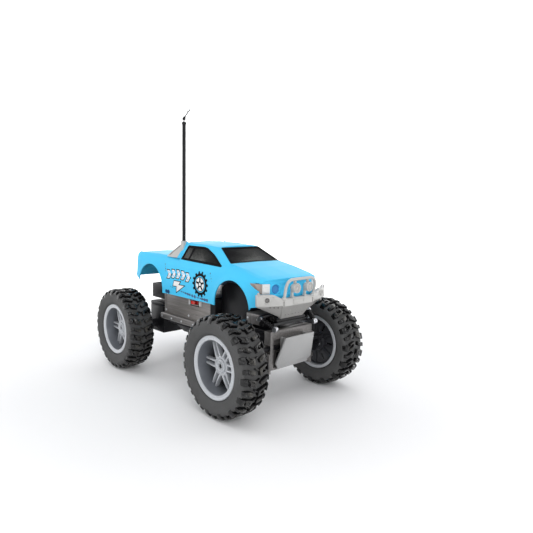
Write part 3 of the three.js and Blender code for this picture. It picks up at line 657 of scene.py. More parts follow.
def skin(stations, cab):
    """Points of the whole skin: stations along X, rows from the right sill over to the left."""
    half = np.array([[(x, y, z) for y, z in section_points(x, cab)] for x in stations])
    half = blurred(half, 2, 1)
    half = blurred(half, 1, 0)
    x, y, z = half[..., 0], half[..., 1], half[..., 2]
    lean = np.clip((x - 60) / 27, 0, 1) ** 2
    x = x + lean * (nose_x(y) - 87.4)
    if cab:
        bow = np.clip(1 - abs(x - 46) / 18, 0, 1)
        x = x + bow * (1 - np.minimum(y / 27.4, 1) ** 2) * 2.4
    else:
        tail = np.clip((-80 - x) / 12, 0, 1)
        x = x - tail * table(z, (66, -0.4), (86.5, 0.9), (88, 0.9), (89, 0), (108, -1.6))
    y = y + arch_swell(x, z, y)
    right = np.stack([x, -y, z], 2)
    left = np.stack([x, y, z], 2)[:, ::-1][:, 1:]
    return np.concatenate([right, left], 1)


def surface_normals(points):
    u = np.gradient(points, axis=0)
    v = np.gradient(points, axis=1)
    n = np.cross(u, v)
    return n / np.linalg.norm(n, axis=2)[..., None]


def border_loop(rows, columns):
    """The numbers of the points round the edge of a grid, as pairs of neighbours."""
    loop = (list(range(columns)) + [i * columns + columns - 1 for i in range(1, rows)]
            + [(rows - 1) * columns + j for j in range(columns - 2, -1, -1)]
            + [i * columns for i in range(rows - 2, 0, -1)])
    return zip(loop, loop[1:] + loop[:1])


def two_sided(front, back, rows, columns, inner_kind, flip):
    """A closed sheet from a front and a back grid of points."""
    quads = grid_faces(rows, columns)
    base = rows * columns
    turned_quads = [q[::-1] for q in quads]
    part = Part().add(np.concatenate([front.reshape(-1, 3), back.reshape(-1, 3)]), [])
    part.faces += turned_quads if flip else quads
    part.faces += [tuple(base + i for i in q) for q in (quads if flip else turned_quads)]
    part.kinds = [0] * len(quads) + [inner_kind] * len(quads)
    edge = [(a, b, base + b, base + a) for a, b in border_loop(rows, columns)]
    part.faces += edge
    part.kinds += [0] * len(edge)
    return part


def thick_grid(points, depth):
    """A sheet from the points inwards along the normals; outer faces kind 0, inner kind 1."""
    return two_sided(points, points - surface_normals(points) * depth, *points.shape[:2], 1, True)


def stations(x0, x1):
    return np.linspace(x0, x1, int((x1 - x0) / STATION_STEP) + 1)


CAB_SKIN = skin(stations(CAB_REAR_X, 87.4), True)
BED_SKIN = skin(stations(BED_REAR_X, CAB_REAR_X), False)

SIDE_WINDOW = [
    (-18.8, 105.8), (-14.9, 118.7), (8.5, 118.6), (14.2, 117.6), (26, 112.9), (40.6, 105.1), (39.4, 104.0),
]
WINDSCREEN_HALF = [(27.8, -21.2), (48.6, -27.4), (50.8, -14)]
WINDSCREEN = [*WINDSCREEN_HALF, (51.4, 0), *[(x, -y) for x, y in WINDSCREEN_HALF[::-1]]]
# The openings behind them stay apart, so that they can be cut from the shell in one go.
SIDE_OPENING = [
    (-18.3, 105.9), (-14.6, 118.2), (8.5, 118.1), (13.5, 117.2), (25, 112.5), (39.6, 105.2), (38.6, 104.3),
]
SCREEN_OPENING_HALF = [(28.0, -21.0), (47.2, -26.6), (49.6, -14)]
SCREEN_OPENING = [*SCREEN_OPENING_HALF, (50.2, 0), *[(x, -y) for x, y in SCREEN_OPENING_HALF[::-1]]]
HEADLIGHT = [(23.6, 87.9), (29.6, 87.9), (34.6, 95.0), (35.6, 96.5), (23.6, 96.0)]


def arch_outline(x, z, r):
    return [(x - r, 50), *circle(x, z, r, 40, math.pi, -math.pi), (x + r, 50)]


SILL = [
    (-120, 50), (120, 50), (120, 78.3), (84, 78.3), (79.4, 77.6), (77, SILL_Z), (-80, SILL_Z),
    (-84, 82.5), (-91, 84.2), (-120, 84.2),
]


def openings(front):
    """The prisms cut out of the cab half or the bed half of the shell."""
    across = [arch_outline(*(FRONT_ARCH if front else REAR_ARCH))]
    if front:
        across.append(rounded(SIDE_OPENING, 1.4, 6))
    made = [prism(outline, -60, 60, along_y(0)) for outline in across]
    if front:
        made.append(prism(rounded(SCREEN_OPENING, 1.2, 6), 104, 130, along_z(0)))
        for side in (-1, 1):
            made.append(prism(rounded([(side * y, z) for y, z in HEADLIGHT], 0.4, 4), 82.0, 110, along_x(0)))
    return [*made, prism(SILL, -60, 60, along_y(0))]


def body_shell():
    part = Part()
    for front, surface in ((True, CAB_SKIN), (False, BED_SKIN)):
        shape = loose("half", thick_grid(surface, SHELL_WALL))
        for cutter in openings(front):
            boolean(shape, loose("cutter", cutter), "DIFFERENCE")
        data = shape.data
        part.add([v.co for v in data.vertices], [])
        base = len(part.points) - len(data.vertices)
        part.faces += [tuple(base + i for i in face.vertices) for face in data.polygons]
        part.kinds += inner_faces(data)
    return part


def inner_faces(data):
    """1 for faces that look towards the inside of the shell, which are painted in shade, else 0."""
    kinds = []
    for face in data.polygons:
        c, n = face.center, face.normal
        towards = Vector((0, -c.y, 88 - c.z))
        facing = n.dot(towards.normalized()) > 0.35 and abs(n.x) < 0.8
        kinds.append(1 if facing else 0)
    return kinds


# The faces that look into the shell take the darker inside paint: painted shade.
show("body_shell_skin", body_shell(), ["paint", "paint_in_painted_shade"], "chassis", ["body_shell"])


def smooth_step(x, a, b):
    t = np.clip((x - a) / (b - a), 0, 1)
    return t * t * (3 - 2 * t)


def height_field(ys, zs, x_of, thick, facing):
    """A panel with relief that looks along X. ys and zs are 2-D grids in millimetres."""
    xs = x_of(ys, zs)
    return two_sided(np.stack([xs, ys, zs], 2), np.stack([xs - facing * thick, ys, zs], 2), *ys.shape, 0, False)


def top_of(row, y):
    """Height of a row of the skin above this distance from the middle."""
    upper = row[row[:, 2] > 88]
    return np.interp(y, upper[:, 1], upper[:, 2])


def band(value, low, high, soft_low, soft_high=None):
    """1 between two values and 0 outside them, with soft ends."""
    return smooth_step(value, low, low + soft_low) * (1 - smooth_step(value, high - (soft_high or soft_low), high))


def fascia():
    """The nose under the hood lip, with two round recesses and the ledge over the bumper."""
    foot = 78.4
    ys, vs = np.meshgrid(np.linspace(-31.6, 31.6, 127), np.linspace(0, 1, 60))
    zs = foot + (top_of(CAB_SKIN[-1], ys) - 0.45 - foot) * vs

    def from_lamp(y, z):
        return np.hypot(np.abs(y) - NOSE_LAMP[0], z - NOSE_LAMP[1])

    def relief(y, z):
        x = nose_x(y) - 0.9 - 0.6 * smooth_step(96.6 - z, 0, 1.2)
        x = x + 0.9 * (1 - smooth_step(z, 86.6, 87.5)) - 1.6 * (1 - smooth_step(z, 78.5, 85))
        r = from_lamp(y, z)
        x = x + 0.5 * (smooth_step(r, 3.5, 3.8) - smooth_step(r, 4.3, 4.7)) - 0.9 * (1 - smooth_step(r, 2.9, 3.5))
        return x - 0.6 * smooth_step(12.6 - np.abs(y), 0, 0.8) * band(z, 88.0, 95.5, 0.7)
    part = height_field(ys, zs, relief, 1.4, 1)
    # The floors of the round recesses take the darker recess blue: painted shade.
    for index in range(len(grid_faces(*ys.shape))):
        y, z = (np.mean([part.points[i][k] for i in part.faces[index]]) for k in (1, 2))
        part.kinds[index] = int(from_lamp(y, z) < 3.5)
    return part


def tail_panel():
    """The tailgate, with its pressed frame, handle and lamp bosses."""
    right = BED_SKIN[0][:BED_SKIN.shape[1] // 2 + 1]
    wall_x, wall_y, wall_z = right[:-12].T          # without the last points, which lie flat on top
    ys, zs = np.meshgrid(np.linspace(-1, 1, 121), np.linspace(84.6, 106.4, 80))
    ys = ys * (np.interp(zs, wall_z, -wall_y) - 0.5)

    def relief(y, z):
        far = np.abs(y)
        frame_in = smooth_step(24.5 - far, 0, 0.8) * band(z, 90.6, 103.8, 0.8)
        inner = smooth_step(21.8 - far, 0, 0.7) * band(z, 92.8, 101.6, 0.8)
        handle = smooth_step(5.2 - far, 0, 0.5) * band(z, 95.9, 98.7, 0.4)
        lamp = smooth_step(3.0 - np.abs(far - 28.7), 0, 0.5) * band(z, 91, 103, 0.5, 0.6)
        return np.interp(z, wall_z, wall_x) + 0.35 + 0.9 * frame_in - 0.5 * inner + 0.7 * handle - 0.5 * lamp
    return height_field(ys, zs, relief, 1.3, -1)


def surface_tree(points):
    rows, columns = points.shape[:2]
    return BVHTree.FromPolygons([Vector(p) for p in points.reshape(-1, 3)], grid_faces(rows, columns))


CAB_TREE = surface_tree(CAB_SKIN)
BED_TREE = surface_tree(BED_SKIN)


def from_side(side):
    """Looks for the skin straight in from one side, at x and z."""
    def project(a, b, h):
        tree = CAB_TREE if a > CAB_REAR_X else BED_TREE
        place, normal, _, _ = tree.ray_cast(Vector((a, side * 60, b)), Vector((0, -side, 0)))
        if place is None:
            place, normal, _, _ = tree.find_nearest(Vector((a, side * 34, b)))
        normal = normal * math.copysign(1, normal.y * side)
        return place + normal * h
    return project


def from_above(a, b, h):
    place, normal, _, _ = CAB_TREE.ray_cast(Vector((a, b, 140)), Vector((0, 0, -1)))
    return place + normal * math.copysign(1, normal.z) * h


def draped(rings, project, out, depth, filled=True):
    """A thin sheet on the skin. rings are outlines with as many points each, outermost first."""
    rings = [[tuple(p) for p in ring] for ring in rings]
    if filled:
        last = np.array(rings[-1])
        middle = last.mean(axis=0)
        rings += [[tuple(middle + (p - middle) * t) for p in last] for t in (0.8, 0.6, 0.4, 0.2, 0.02)]
    count = len(rings[0])
    part = Part()
    for level in (out, out - depth):
        part.points += [tuple(project(a, b, level)) for ring in rings for a, b in ring]
    base = len(rings) * count
    quads = grid_faces(len(rings), count, True)
    part.faces += quads + [tuple(base + i for i in q[::-1]) for q in quads]
    for start in (0,) if filled else (0, (len(rings) - 1) * count):
        for i in range(count):
            a, b = start + i, start + (i + 1) % count
            part.faces.append((a, b, base + b, base + a))
    if filled:
        inner = [(len(rings) - 1) * count + i for i in range(count)]
        part.faces += [tuple(inner), tuple(base + i for i in inner[::-1])]
    part.kinds = [0] * len(part.faces)
    return part


def make_window(name, outline, width, project, post=None):
    """A smoked pane in a raised black border."""
    frame_rings = [rounded(pulled_in(outline, by), 1.2, 6) for by in (0.12, 0.4, width - 0.25, width)]
    part = draped([rounded(pulled_in(outline, width - 0.1), 1.0, 6)], project, -0.45, 0.7)
    part.merge(draped(frame_rings, project, 0.12, 0.9, filled=False), kind=1)
    if post:
        part.merge(draped([rounded(post, 0.2, 3)], project, -0.22, 0.6), kind=1)
    show(name + "_glass", part, ["glass", "ink"], "chassis", [name])


def windows():
    pillar = [(-8.6, 106.6), (-6.0, 106.6), (-3.7, 117.4), (-6.3, 117.4)]
    for name, side in (("right", -1), ("left", 1)):
        make_window("side_window_" + name, SIDE_WINDOW, 2.0, from_side(side), pillar)
    make_window("windscreen", WINDSCREEN, 2.2, from_above)


BOLT_HALVES = (
    [(-22, 86.6), (-12.5, 86.6), (-16.5, 82.2), (-23.8, 82.2)],
    [(-17.8, 83.7), (-6.5, 83.7), (-18.6, 77.0)],
)
EMBLEM = np.array([17.0, 88.0])      # middle of the wheel emblem on the door
STICKER_DEPTH = 0.16


def sticker(part, outline, side, kind, level, inset=0.0, corner=0.3):
    shape = rounded(pulled_in(outline, inset) if inset else outline, corner, 4)
    part.merge(draped([shape], from_side(side), 0.04 + 0.04 * level, STICKER_DEPTH), kind=kind)


def dot(part, place, radius, side, steps):
    part.merge(draped([circle(*place, radius, steps)], from_side(side), 0.05, 0.14), kind=3)


def spread(k, step, start=0.0):
    """Numbers from 0 to 1 that fall apart evenly."""
    return (k * step + start) % 1


def side_graphics(side):
    """Plain stickers on the doors: a row of chevrons, a bolt, a wheel and a splash of dots."""
    part = Part()
    for k in range(5):
        x, z = -33.5 + 7.4 * k, 91.2 + 1.9 * math.sin(math.pi * (k + 0.6) / 5.2)
        low, tip, high = [(x, z - 3.6), (x + 3.6, z - 3.6)], [(x + 6.4, z)], [(x + 3.6, z + 3.6), (x, z + 3.6)]
        notch = (x + 2.4, z)
        for kind, level, inset in ((0, 0, -0.75), (1, 1, 0), (2, 2, 1.0)):
            sticker(part, [notch, *tip, *high], side, kind, level, inset)
            sticker(part, [*low, *tip, notch], side, kind, level, inset)
    for kind, level, inset in ((0, 3, -0.7), (1, 4.4, 0.0)):
        for half in BOLT_HALVES:
            sticker(part, half, side, kind, level, inset)
    for a in 2 * math.pi * np.arange(14) / 14:
        across = np.array([-math.sin(a), math.cos(a)])
        out = np.array([math.cos(a), math.sin(a)])
        lug = [EMBLEM + out * r + across * w for r, w in ((8.6, -1.25), (10.9, -0.95), (10.9, 0.95), (8.6, 1.25))]
        sticker(part, [tuple(p) for p in lug], side, 0, 0)
    for radius, kind, level in ((9.2, 0, 1), (6.9, 2, 2), (6.2, 0, 3), (5.6, 1, 4), (2.5, 0, 5.4), (1.4, 1, 6.4)):
        disc = draped([circle(*EMBLEM, radius, 40)], from_side(side), 0.04 + 0.04 * level, STICKER_DEPTH)
        part.merge(disc, kind=kind)
    for a in 2 * math.pi * (np.arange(5) + 0.25) / 5:
        arm = [(EMBLEM[0] + r * math.cos(a + w), EMBLEM[1] + r * math.sin(a + w))
               for r, w in ((2.3, -0.35), (5.4, -0.16), (5.4, 0.16), (2.3, 0.35))]
        sticker(part, arm, side, 0, 4.8, corner=0.2)
    for k in range(34):
        t = spread(k, 0.618034)
        place = (-36 + 64 * spread(k, 0.381966, 0.1), 75.6 + 5.6 * t * t)
        dot(part, place, 0.4 + 1.9 * (1 - t) * spread(k, 0.7548), side, 14)
    for k in range(12):
        left, width, low = (-38.5, 3, 93) if k % 2 else (29, 4, 92)
        place = (left + width * spread(k, 0.618), low + 8 * spread(k, 0.382))
        dot(part, place, 0.25 + 0.4 * spread(k, 0.7548), side, 12)
    name = "side_graphics_" + ("left" if side > 0 else "right")
    show(name, part, ["ink", "white", "paint", "navy"], "chassis")


def lamp_x(y):
    """How far forward the headlight reaches at this distance from the middle plane."""
    return table(abs(y), (23, 90.25), (26, 89.3), (29.4, 87.9), (31.5, 86.4), (33, 85.0), (34.2, 83.6), (34.8, 82.4))


def headlight(side):
    """A white block with ridges beside a smoked corner."""
    part = Part()

    def layer(outline, corner, steps, low, high, bevel, back=4.2, kind=0, arcs=2):
        slab = plate(rounded(outline, corner, steps), low, high,
                     lambda a, b, h: (lamp_x(a) - back + h, side * a, b), bevel, arcs)
        part.merge(slab, kind=kind)

    layer(rectangle(23.8, 29.35, 88.0, 95.75), 0.5, 4, 0, 4.0, 0.4, arcs=3)
    layer(rectangle(24.5, 28.7, 88.8, 95.0), 0.8, 5, 3.6, 4.35, 0.3, arcs=3)
    for z in (90.3, 91.9, 93.5):
        layer(rectangle(24.9, 28.3, z - 0.35, z + 0.35), 0.3, 3, 4.0, 4.6, 0.25)
    corner = [(29.7, 88.0), (30.2, 88.0), (33.6, 94.2), (34.5, 96.1), (29.7, 95.8)]
    layer(corner, 0.35, 3, 0, 4.0, 0.35, back=4.3, kind=1)
    name = "headlight_left" if side > 0 else "headlight_right"
    show(name + "_lens", part, ["lens", "smoke"], "chassis", [name])


FORWARD = (1, 0, 0)


def aimed(part, origin, direction):
    """A part made about the Y axis, turned so that +Y looks along a direction."""
    turn = Vector((0, 1, 0)).rotation_difference(Vector(direction)).to_matrix().to_4x4()
    return Part().merge(part, Matrix.Translation(Vector(origin)) @ turn)


def solid_turned(profile, steps):
    """A turned shape with no hole: the profile starts and ends near the axis."""
    return turned(profile, steps, closed=False)


def bull_bar():
    """The hoop with its feet and the two blocks that hold the lamps."""
    half = [
        (97.0, 16.0, 85.2), (97.4, 16.2, 86.6), (98.0, 16.4, 89), (98.9, 16.3, 93.6), (99.4, 15.0, 97.0),
        (99.6, 12.0, 98.9), (99.6, 7, 99.2),
    ]
    part = tube(smooth_path([(x, -y, z) for x, y, z in half] + half[::-1], 9), 1.15, 18)
    foot = turned([(0.01, 0), (2.0, 0), (2.0, 0.5), (1.7, 0.9), (1.35, 1.5), (0.01, 1.5)], 20)
    stud = turned([(0.01, 0), (0.7, 0), (0.7, 0.3), (0.5, 0.5), (0.01, 0.5)], 12)
    for side in (-1, 1):
        y = side * SPOT_LAMP[0]
        part.merge(aimed(foot, (96.9, side * 16.0, 84.6), (0.1, 0, 1)))
        part.merge(brick((98.4, y - 1.1, 95.2), (99.9, y + 1.1, 98.6)))
        part.merge(aimed(stud, (99.8, y, 97.2), FORWARD))
    show("bull_bar_tube", part, ["trim"], "chassis", ["bull_bar"])


def spot_lamp(side):
    """A can with a bezel, a ribbed reflector and a stem."""
    y, z = side * SPOT_LAMP[0], SPOT_LAMP[1]
    body = solid_turned([
        (0.01, -5.9), (1.3, -5.8), (2.3, -5.2), (2.9, -4.0), (3.1, -3.3), (3.1, -2.4), (2.95, -2.2), (3.1, -2.0),
        (3.25, -1.6), (3.3, -0.3), (3.2, -0.05), (3.0, 0.0), (2.75, -0.1), (2.6, -0.7), (2.3, -0.95), (2.25, -0.6),
        (1.7, -0.55), (1.65, -0.9), (1.1, -0.8), (0.9, -0.35), (0.5, -0.2), (0.01, -0.15),
    ], 48)
    body.points = [(a * 1.13, b, c * 1.13) for a, b, c in body.points]
    part = aimed(body, (102.1, y, z), FORWARD)
    bead = turned([(0.01, 0), (0.25, 0), (0.2, 0.2), (0.01, 0.25)], 8)
    for a, b in circle(y, z, 2.0, 8):
        part.merge(aimed(bead, (101.45, a, b), FORWARD))
    part.merge(brick((95.6, y - 1.0, 85.1), (97.3, y + 1.0, 92.0), 0.3))
    part.merge(brick((95.6, y - 1.7, 85.1), (98.0, y + 1.7, 86.1), 0.3))
    name = "spot_lamp_left" if side > 0 else "spot_lamp_right"
    show(name + "_can", part, ["trim"], "chassis", [name])


def bumper_details():
    """Fog lamps, bolts, drain holes, towing rings and the plate frame on the bumper."""
    part = Part()
    skirt_out = (0.855, 0, -0.519)
    ring = turned([(1.85, -0.6), (1.85, 0.2), (2.05, 0.55), (2.5, 0.55), (2.8, 0.2), (2.8, -0.6)], 32)
    lens = solid_turned([(0.01, 0.3), (0.7, 0.2), (1.0, -0.2), (1.85, -0.35), (1.9, -0.8), (0.01, -0.8)], 24)
    # Parts given kind 1 take the darker copy of the trim plastic, which is painted shade for recesses and holes.
    for side in (-1, 1):
        out = (0.906, 0.422 * side, 0)
        part.merge(aimed(ring, (94.15, side * 31, 84.8), out))
        part.merge(aimed(lens, (94.15, side * 31, 84.8), out), kind=1)
        part.merge(aimed(bolt(0.55), (92.2, side * 35.3, 85.6), out), kind=1)
        part.merge(aimed(bolt(0.5), (96.35, side * 26.4, 86.6), out))
        for k, y in enumerate((20.5, 24.0, 27.5)):
            spot = (95.55 - 0.17 * (y - 20) - 0.1 * k, side * y, 78.2 + 0.1 * (y - 20))
            part.merge(aimed(bolt(0.42), spot, (0.83, 0.18 * side, -0.52)), kind=1)
        part.merge(tow_hook(side))
    for y in (-9.5, -5.7, -1.9, 1.9, 5.7, 9.5):
        part.merge(aimed(bolt(0.42), (92.3, y, 71.2), skirt_out), kind=1)
    for y in (-6, 0, 6):
        part.merge(aimed(bolt(0.36), (94.5, y, 74.8), skirt_out))
    for bar in ((-6, 6, 83.0, 83.6), (-6, 6, 79.9, 80.5), (-6, -5.4, 80.2, 83.4), (5.4, 6, 80.2, 83.4)):
        part.merge(plate(rectangle(*bar), -0.6, 0.42, lambda a, b, h: (97.05 + (84.7 - b) * 0.07 + h, a, b), 0.15))
    show("bumper_fittings", part, ["trim", "trim_painted_shade"], "chassis")


def bolt(radius):
    """A shallow dished disc, made along +Y."""
    return solid_turned([(0.01, -0.25), (radius * 0.45, -0.2), (radius * 0.6, 0.08), (radius, 0.1),
                         (radius * 1.25, -0.05), (radius * 1.3, -0.4), (0.01, -0.4)], 16)


def tow_hook(side):
    """The ring on the upper outer end of the bumper."""
    ring = turned([
        (0.75, -0.45), (0.75, 0.45), (0.95, 0.6), (1.45, 0.6), (1.65, 0.4), (1.65, -0.4), (1.45, -0.6), (0.95, -0.6),
    ], 24)
    return aimed(ring, (90.4, side * 36.2, 88.9), (0.42, -0.906 * side, 0))


def antenna():
    """The grommet and the knotted end of the wire that the tube holds."""
    foot = centre_mm("antenna_tube")
    foot[2] = 0
    top = np.array([foot[0], foot[1], box_mm("antenna_tube")[1][2]])
    wire = [foot + (0, 0, 71.4), foot + (0, 0, 150), top - (0, 0, 1), top + (0, 0, 1.2)]
    knot = []
    for t in np.linspace(0.4, 2 * math.pi - 0.2, 20):
        wide = 1.1 * math.sin(2 * t) * (1 + 0.2 * math.cos(3 * t))
        knot.append(top + (wide, math.cos(2 * t), 2.6 + 0.75 * math.sin(3 * t)))
    tail = [top + p for p in ((1.0, 0.5, 4.2), (2.6, 1.1, 6.6), (4.6, 1.9, 8.8), (5.6, 2.2, 10.0))]
    strand = [top + p for p in ((3.6, 1.5, 7.7), (3.3, 1.4, 8.9), (3.2, 1.4, 9.8))]
    part = tube(smooth_path([*wire, *knot, *tail], 5), 0.5, 10)
    part.merge(tube(smooth_path(strand, 4), 0.28, 8))
    show("antenna_wire_knot", part, ["black"], "chassis", ["antenna_wire"])
    sleeve = turned([(1.62, -1), (1.62, 0.6), (2.0, 0.6), (2.1, 0.2), (2.1, -1)], 24)
    collar = turned([(1.7, -2), (1.7, 1.2), (2.3, 1.2), (3.0, 0.5), (3.1, -2)], 32)
    part = aimed(sleeve, top - (0, 0, 1), (0, 0, 1))
    part.merge(aimed(collar, foot + (0, 0, ANTENNA_FOOT_Z), (0, 0, 1)))
    show("antenna_fittings", part, ["gloss_black"], "chassis")


def sails():
    """The grey panels that sweep from the roof down to the bed rails, and the blue pillar beside them."""
    panel = [(-24.2, 107.0), (-41.2, 107.3), (-39.8, 108.8), (-31.5, 116.2), (-26.4, 120.2), (-20.4, 121.3)]
    panel = rounded(panel, 0.5, 4)
    pillar = rounded([(-24.4, 107.0), (-20.7, 121.2), (-19.6, 121.6), (-19.6, 107.0)], 0.1, 3)
    # The groove is a strip of the darker trim: painted shade along a groove in the panel.
    groove = [(-38.0, 108.4), (-37.2, 108.4), (-25.4, 119.0), (-26.2, 119.0)]
    part = Part()
    for side in (-1, 1):
        def place(a, b, h):
            y = table(b, (107, 29.9), (108.6, 29.4), (114, 26.6), (120.4, 23.2), (121.5, 22.0))
            return (a, side * (y + h), b + 0.3 * h)
        part.merge(plate(panel, -1.2, 0.0, place, 0.25))
        part.merge(plate(pillar, -1.2, 0.05, place, 0.1), kind=2)
        part.merge(plate(groove, -0.2, 0.06, place, 0.03), kind=1)
    show("cab_sails", part, ["trim", "trim_painted_shade", "paint"], "chassis")


sails()
show("nose_panel", fascia(), ["paint", "paint_recess_painted_shade"], "chassis")
show("tail_panel", tail_panel(), ["paint"], "chassis")
windows()
for lamp_side in (-1, 1):
    side_graphics(lamp_side)
    headlight(lamp_side)
    spot_lamp(lamp_side)
bull_bar()
bumper_details()
antenna()


# ---- tyres ---------------------------------------------------------------------------
CARCASS_R = TYRE_R - LUG_HEIGHT


def carcass_radius(t):
    return table(abs(t), (0, CARCASS_R), (7.5, CARCASS_R - 0.2), (9.6, CARCASS_R - 1.0), (11.2, CARCASS_R - 3.2))


def on_tread(s, t, h):
    """s round the tyre, t across it, h above the carcass."""
    angle = s / TYRE_R
    r = carcass_radius(t) + h
    return (r * math.sin(angle), t, r * math.cos(angle))


def tyre():
    side = [
        (22.3, 8.2), (22.9, 8.9), (23.9, 9.4), (24.2, 10.3), (24.9, 10.95), (26.4, 11.3), (29.6, 11.85),
        (31.2, 11.95), (32.6, 11.8), (33.6, 11.4), (34.2, 10.5), (CARCASS_R - 0.5, 8.8), (CARCASS_R - 0.1, 6), (CARCASS_R, 3),
    ]
    profile = [*side, (CARCASS_R, 0), *[(r, -t) for r, t in side[::-1]]]
    part = Part()
    part.merge(turned(profile, 120))
    pitch = 2 * math.pi * TYRE_R / LUG_PAIRS
    for half in (1, -1):
        for i in range(LUG_PAIRS):
            start = pitch * (i + (0 if half > 0 else 0.5))
            part.merge(lug_group(start, half), kind=1)
    for i in range(LUG_PAIRS * 2):
        s = pitch / 2 * (i + 0.22)
        lean = 1 if i % 2 else -1
        bar = [(s - 1.6, -2.1 * lean), (s - 0.5, -2.3 * lean), (s + 1.7, 1.9 * lean), (s + 0.6, 2.2 * lean)]
        part.merge(plate(rounded(bar, 0.4, 3), -0.6, LUG_HEIGHT - 0.7, on_tread, 0.35), kind=1)
    return part


def lug_group(start, half):
    """One hooked lug, one solid lug and their two shoulder blocks."""
    def place(s, t, h):
        return on_tread(start + s + 0.34 * (t - 2), half * t, h)

    part = Part()
    hook = [(-2.6, 1.7), (2.4, 1.4), (2.7, 8.3), (1.0, 8.5), (0.85, 3.9), (-0.9, 3.9), (-1.1, 7.2), (-2.7, 7.1)]
    part.merge(plate(rounded(hook, 0.55, 4), -0.8, LUG_HEIGHT, place, 0.45, 3))
    bar = rounded([(-0.7, 4.9), (0.65, 4.9), (0.8, 8.0), (-0.8, 8.0)], 0.4, 3)
    part.merge(plate(bar, -0.8, LUG_HEIGHT - 1.2, place, 0.3))
    block = [(5.9, 2.9), (9.0, 2.4), (9.6, 6.8), (9.0, 8.8), (6.8, 8.8), (5.8, 6.0)]
    part.merge(plate(rounded(block, 0.7, 4), -0.8, LUG_HEIGHT, place, 0.45, 3))
    part.merge(dimple_ring(place, 7.6, 5.6))
    part.merge(shoulder(start + 0.34 * 7.5, half, -2.6, 2.7, 12.0))
    part.merge(shoulder(start + 0.34 * 7.5, half, 5.9, 9.1, 11.4))
    return part


def dimple_ring(place, s, t):
    """The small raised lozenge on a solid lug."""
    outline = [(s - 1.1, t - 1.7), (s + 1.0, t - 1.9), (s + 1.2, t + 1.6), (s - 0.9, t + 1.8)]
    return plate(rounded(outline, 0.6, 4), LUG_HEIGHT - 0.5, LUG_HEIGHT + 0.1, place, 0.1)


def shoulder(start, half, s0, s1, reach):
    """A block that wraps from the tread down onto the sidewall."""
    outline = [
        (8.7, 33.6), (9.1, 36.9), (10.1, 36.8), (11.5, 34.9), (reach - 0.05, 32.6), (reach - 0.15, 31.2), (10.6, 31.0),
    ]

    def place(t, r, h):
        angle = (start + h) / TYRE_R
        return (r * math.sin(angle), half * t, r * math.cos(angle))

    outline, depth, middle = rounded(outline, 0.5, 3), (s1 - s0) / 2, (s0 + s1) / 2
    low = plate(outline, 0, depth, lambda t, r, h: place(t, r, middle + h), 0.35)
    high = plate(outline, 0, depth, lambda t, r, h: place(t, r, middle - h), 0.35)
    return low.merge(high)


# ---- rims ----------------------------------------------------------------------------
SPOKE_PAIRS = 6
HUB_R = 7.4
DISH_R = 19.7


def rim():
    part = Part()
    face = RIM_HALF
    part.merge(turned([
        (RIM_R - 0.5, face), (RIM_R, face - 0.4), (RIM_R, face - 1.3), (22.3, face - 2.2), (21.9, face - 4),
        (21.7, 0), (21.9, 4 - face), (22.3, 2.2 - face), (RIM_R, 1.3 - face), (RIM_R, 0.4 - face), (RIM_R - 0.5, -face),
        (21.0, -face), (20.6, 0.5 - face), (20.3, 2 - face), (19.6, -5.2), (18.7, 0.0), (18.9, 3.5),
        (19.4, face - 2.4), (19.7, face - 1.1), (DISH_R + 0.3, face - 0.45), (DISH_R + 0.9, face - 0.2),
        (DISH_R + 1.6, face - 0.35), (DISH_R + 2.0, face - 0.15), (RIM_R - 1.0, face),
    ], 128))
    # Faces inside the barrel take the darker barrel colour: painted shade.
    for index, ring_face in enumerate(part.faces):
        radius = np.mean([math.hypot(part.points[i][0], part.points[i][2]) for i in ring_face])
        depth = np.mean([part.points[i][1] for i in ring_face])
        part.kinds[index] = 4 if radius < 20.2 and depth < face - 1.4 else 0
    for a, b in circle(0, 0, 21.0, 24):
        part.merge(plate(circle(a, b, 0.42, 10), face - 0.9, face, along_y(0), 0.2))
    part.merge(hub())
    for i in range(SPOKE_PAIRS):
        for lean in (1, -1):
            part.merge(spoke(2 * math.pi * i / SPOKE_PAIRS, lean))
    part.merge(web())
    return part


def hub():
    part = turned([
        (1.9, -7.5), (4.6, -7.5), (5.2, -5.5), (HUB_R - 0.6, -1.0), (HUB_R, 0.6), (HUB_R, 2.3), (HUB_R - 0.4, 2.9),
        (HUB_R - 1.1, 3.1), (HUB_R - 1.5, 2.7), (HUB_R - 2.0, 2.7), (HUB_R - 2.3, 3.5), (4.4, 3.9), (3.9, 3.4),
        (3.4, 3.4), (3.1, 4.1), (2.6, 4.1), (2.3, 3.6), (1.9, 3.3),
    ], 64)
    part.merge(plate(circle(0, 0, 2.35, 6), -2, 2.6, along_y(0), 0.3), kind=2)
    for a, b in circle(0, 0, 5.9, SPOKE_PAIRS, math.pi / SPOKE_PAIRS):
        part.merge(plate(circle(a, b, 0.5, 12), 2.2, 3.15, along_y(0), 0.2))
    return part


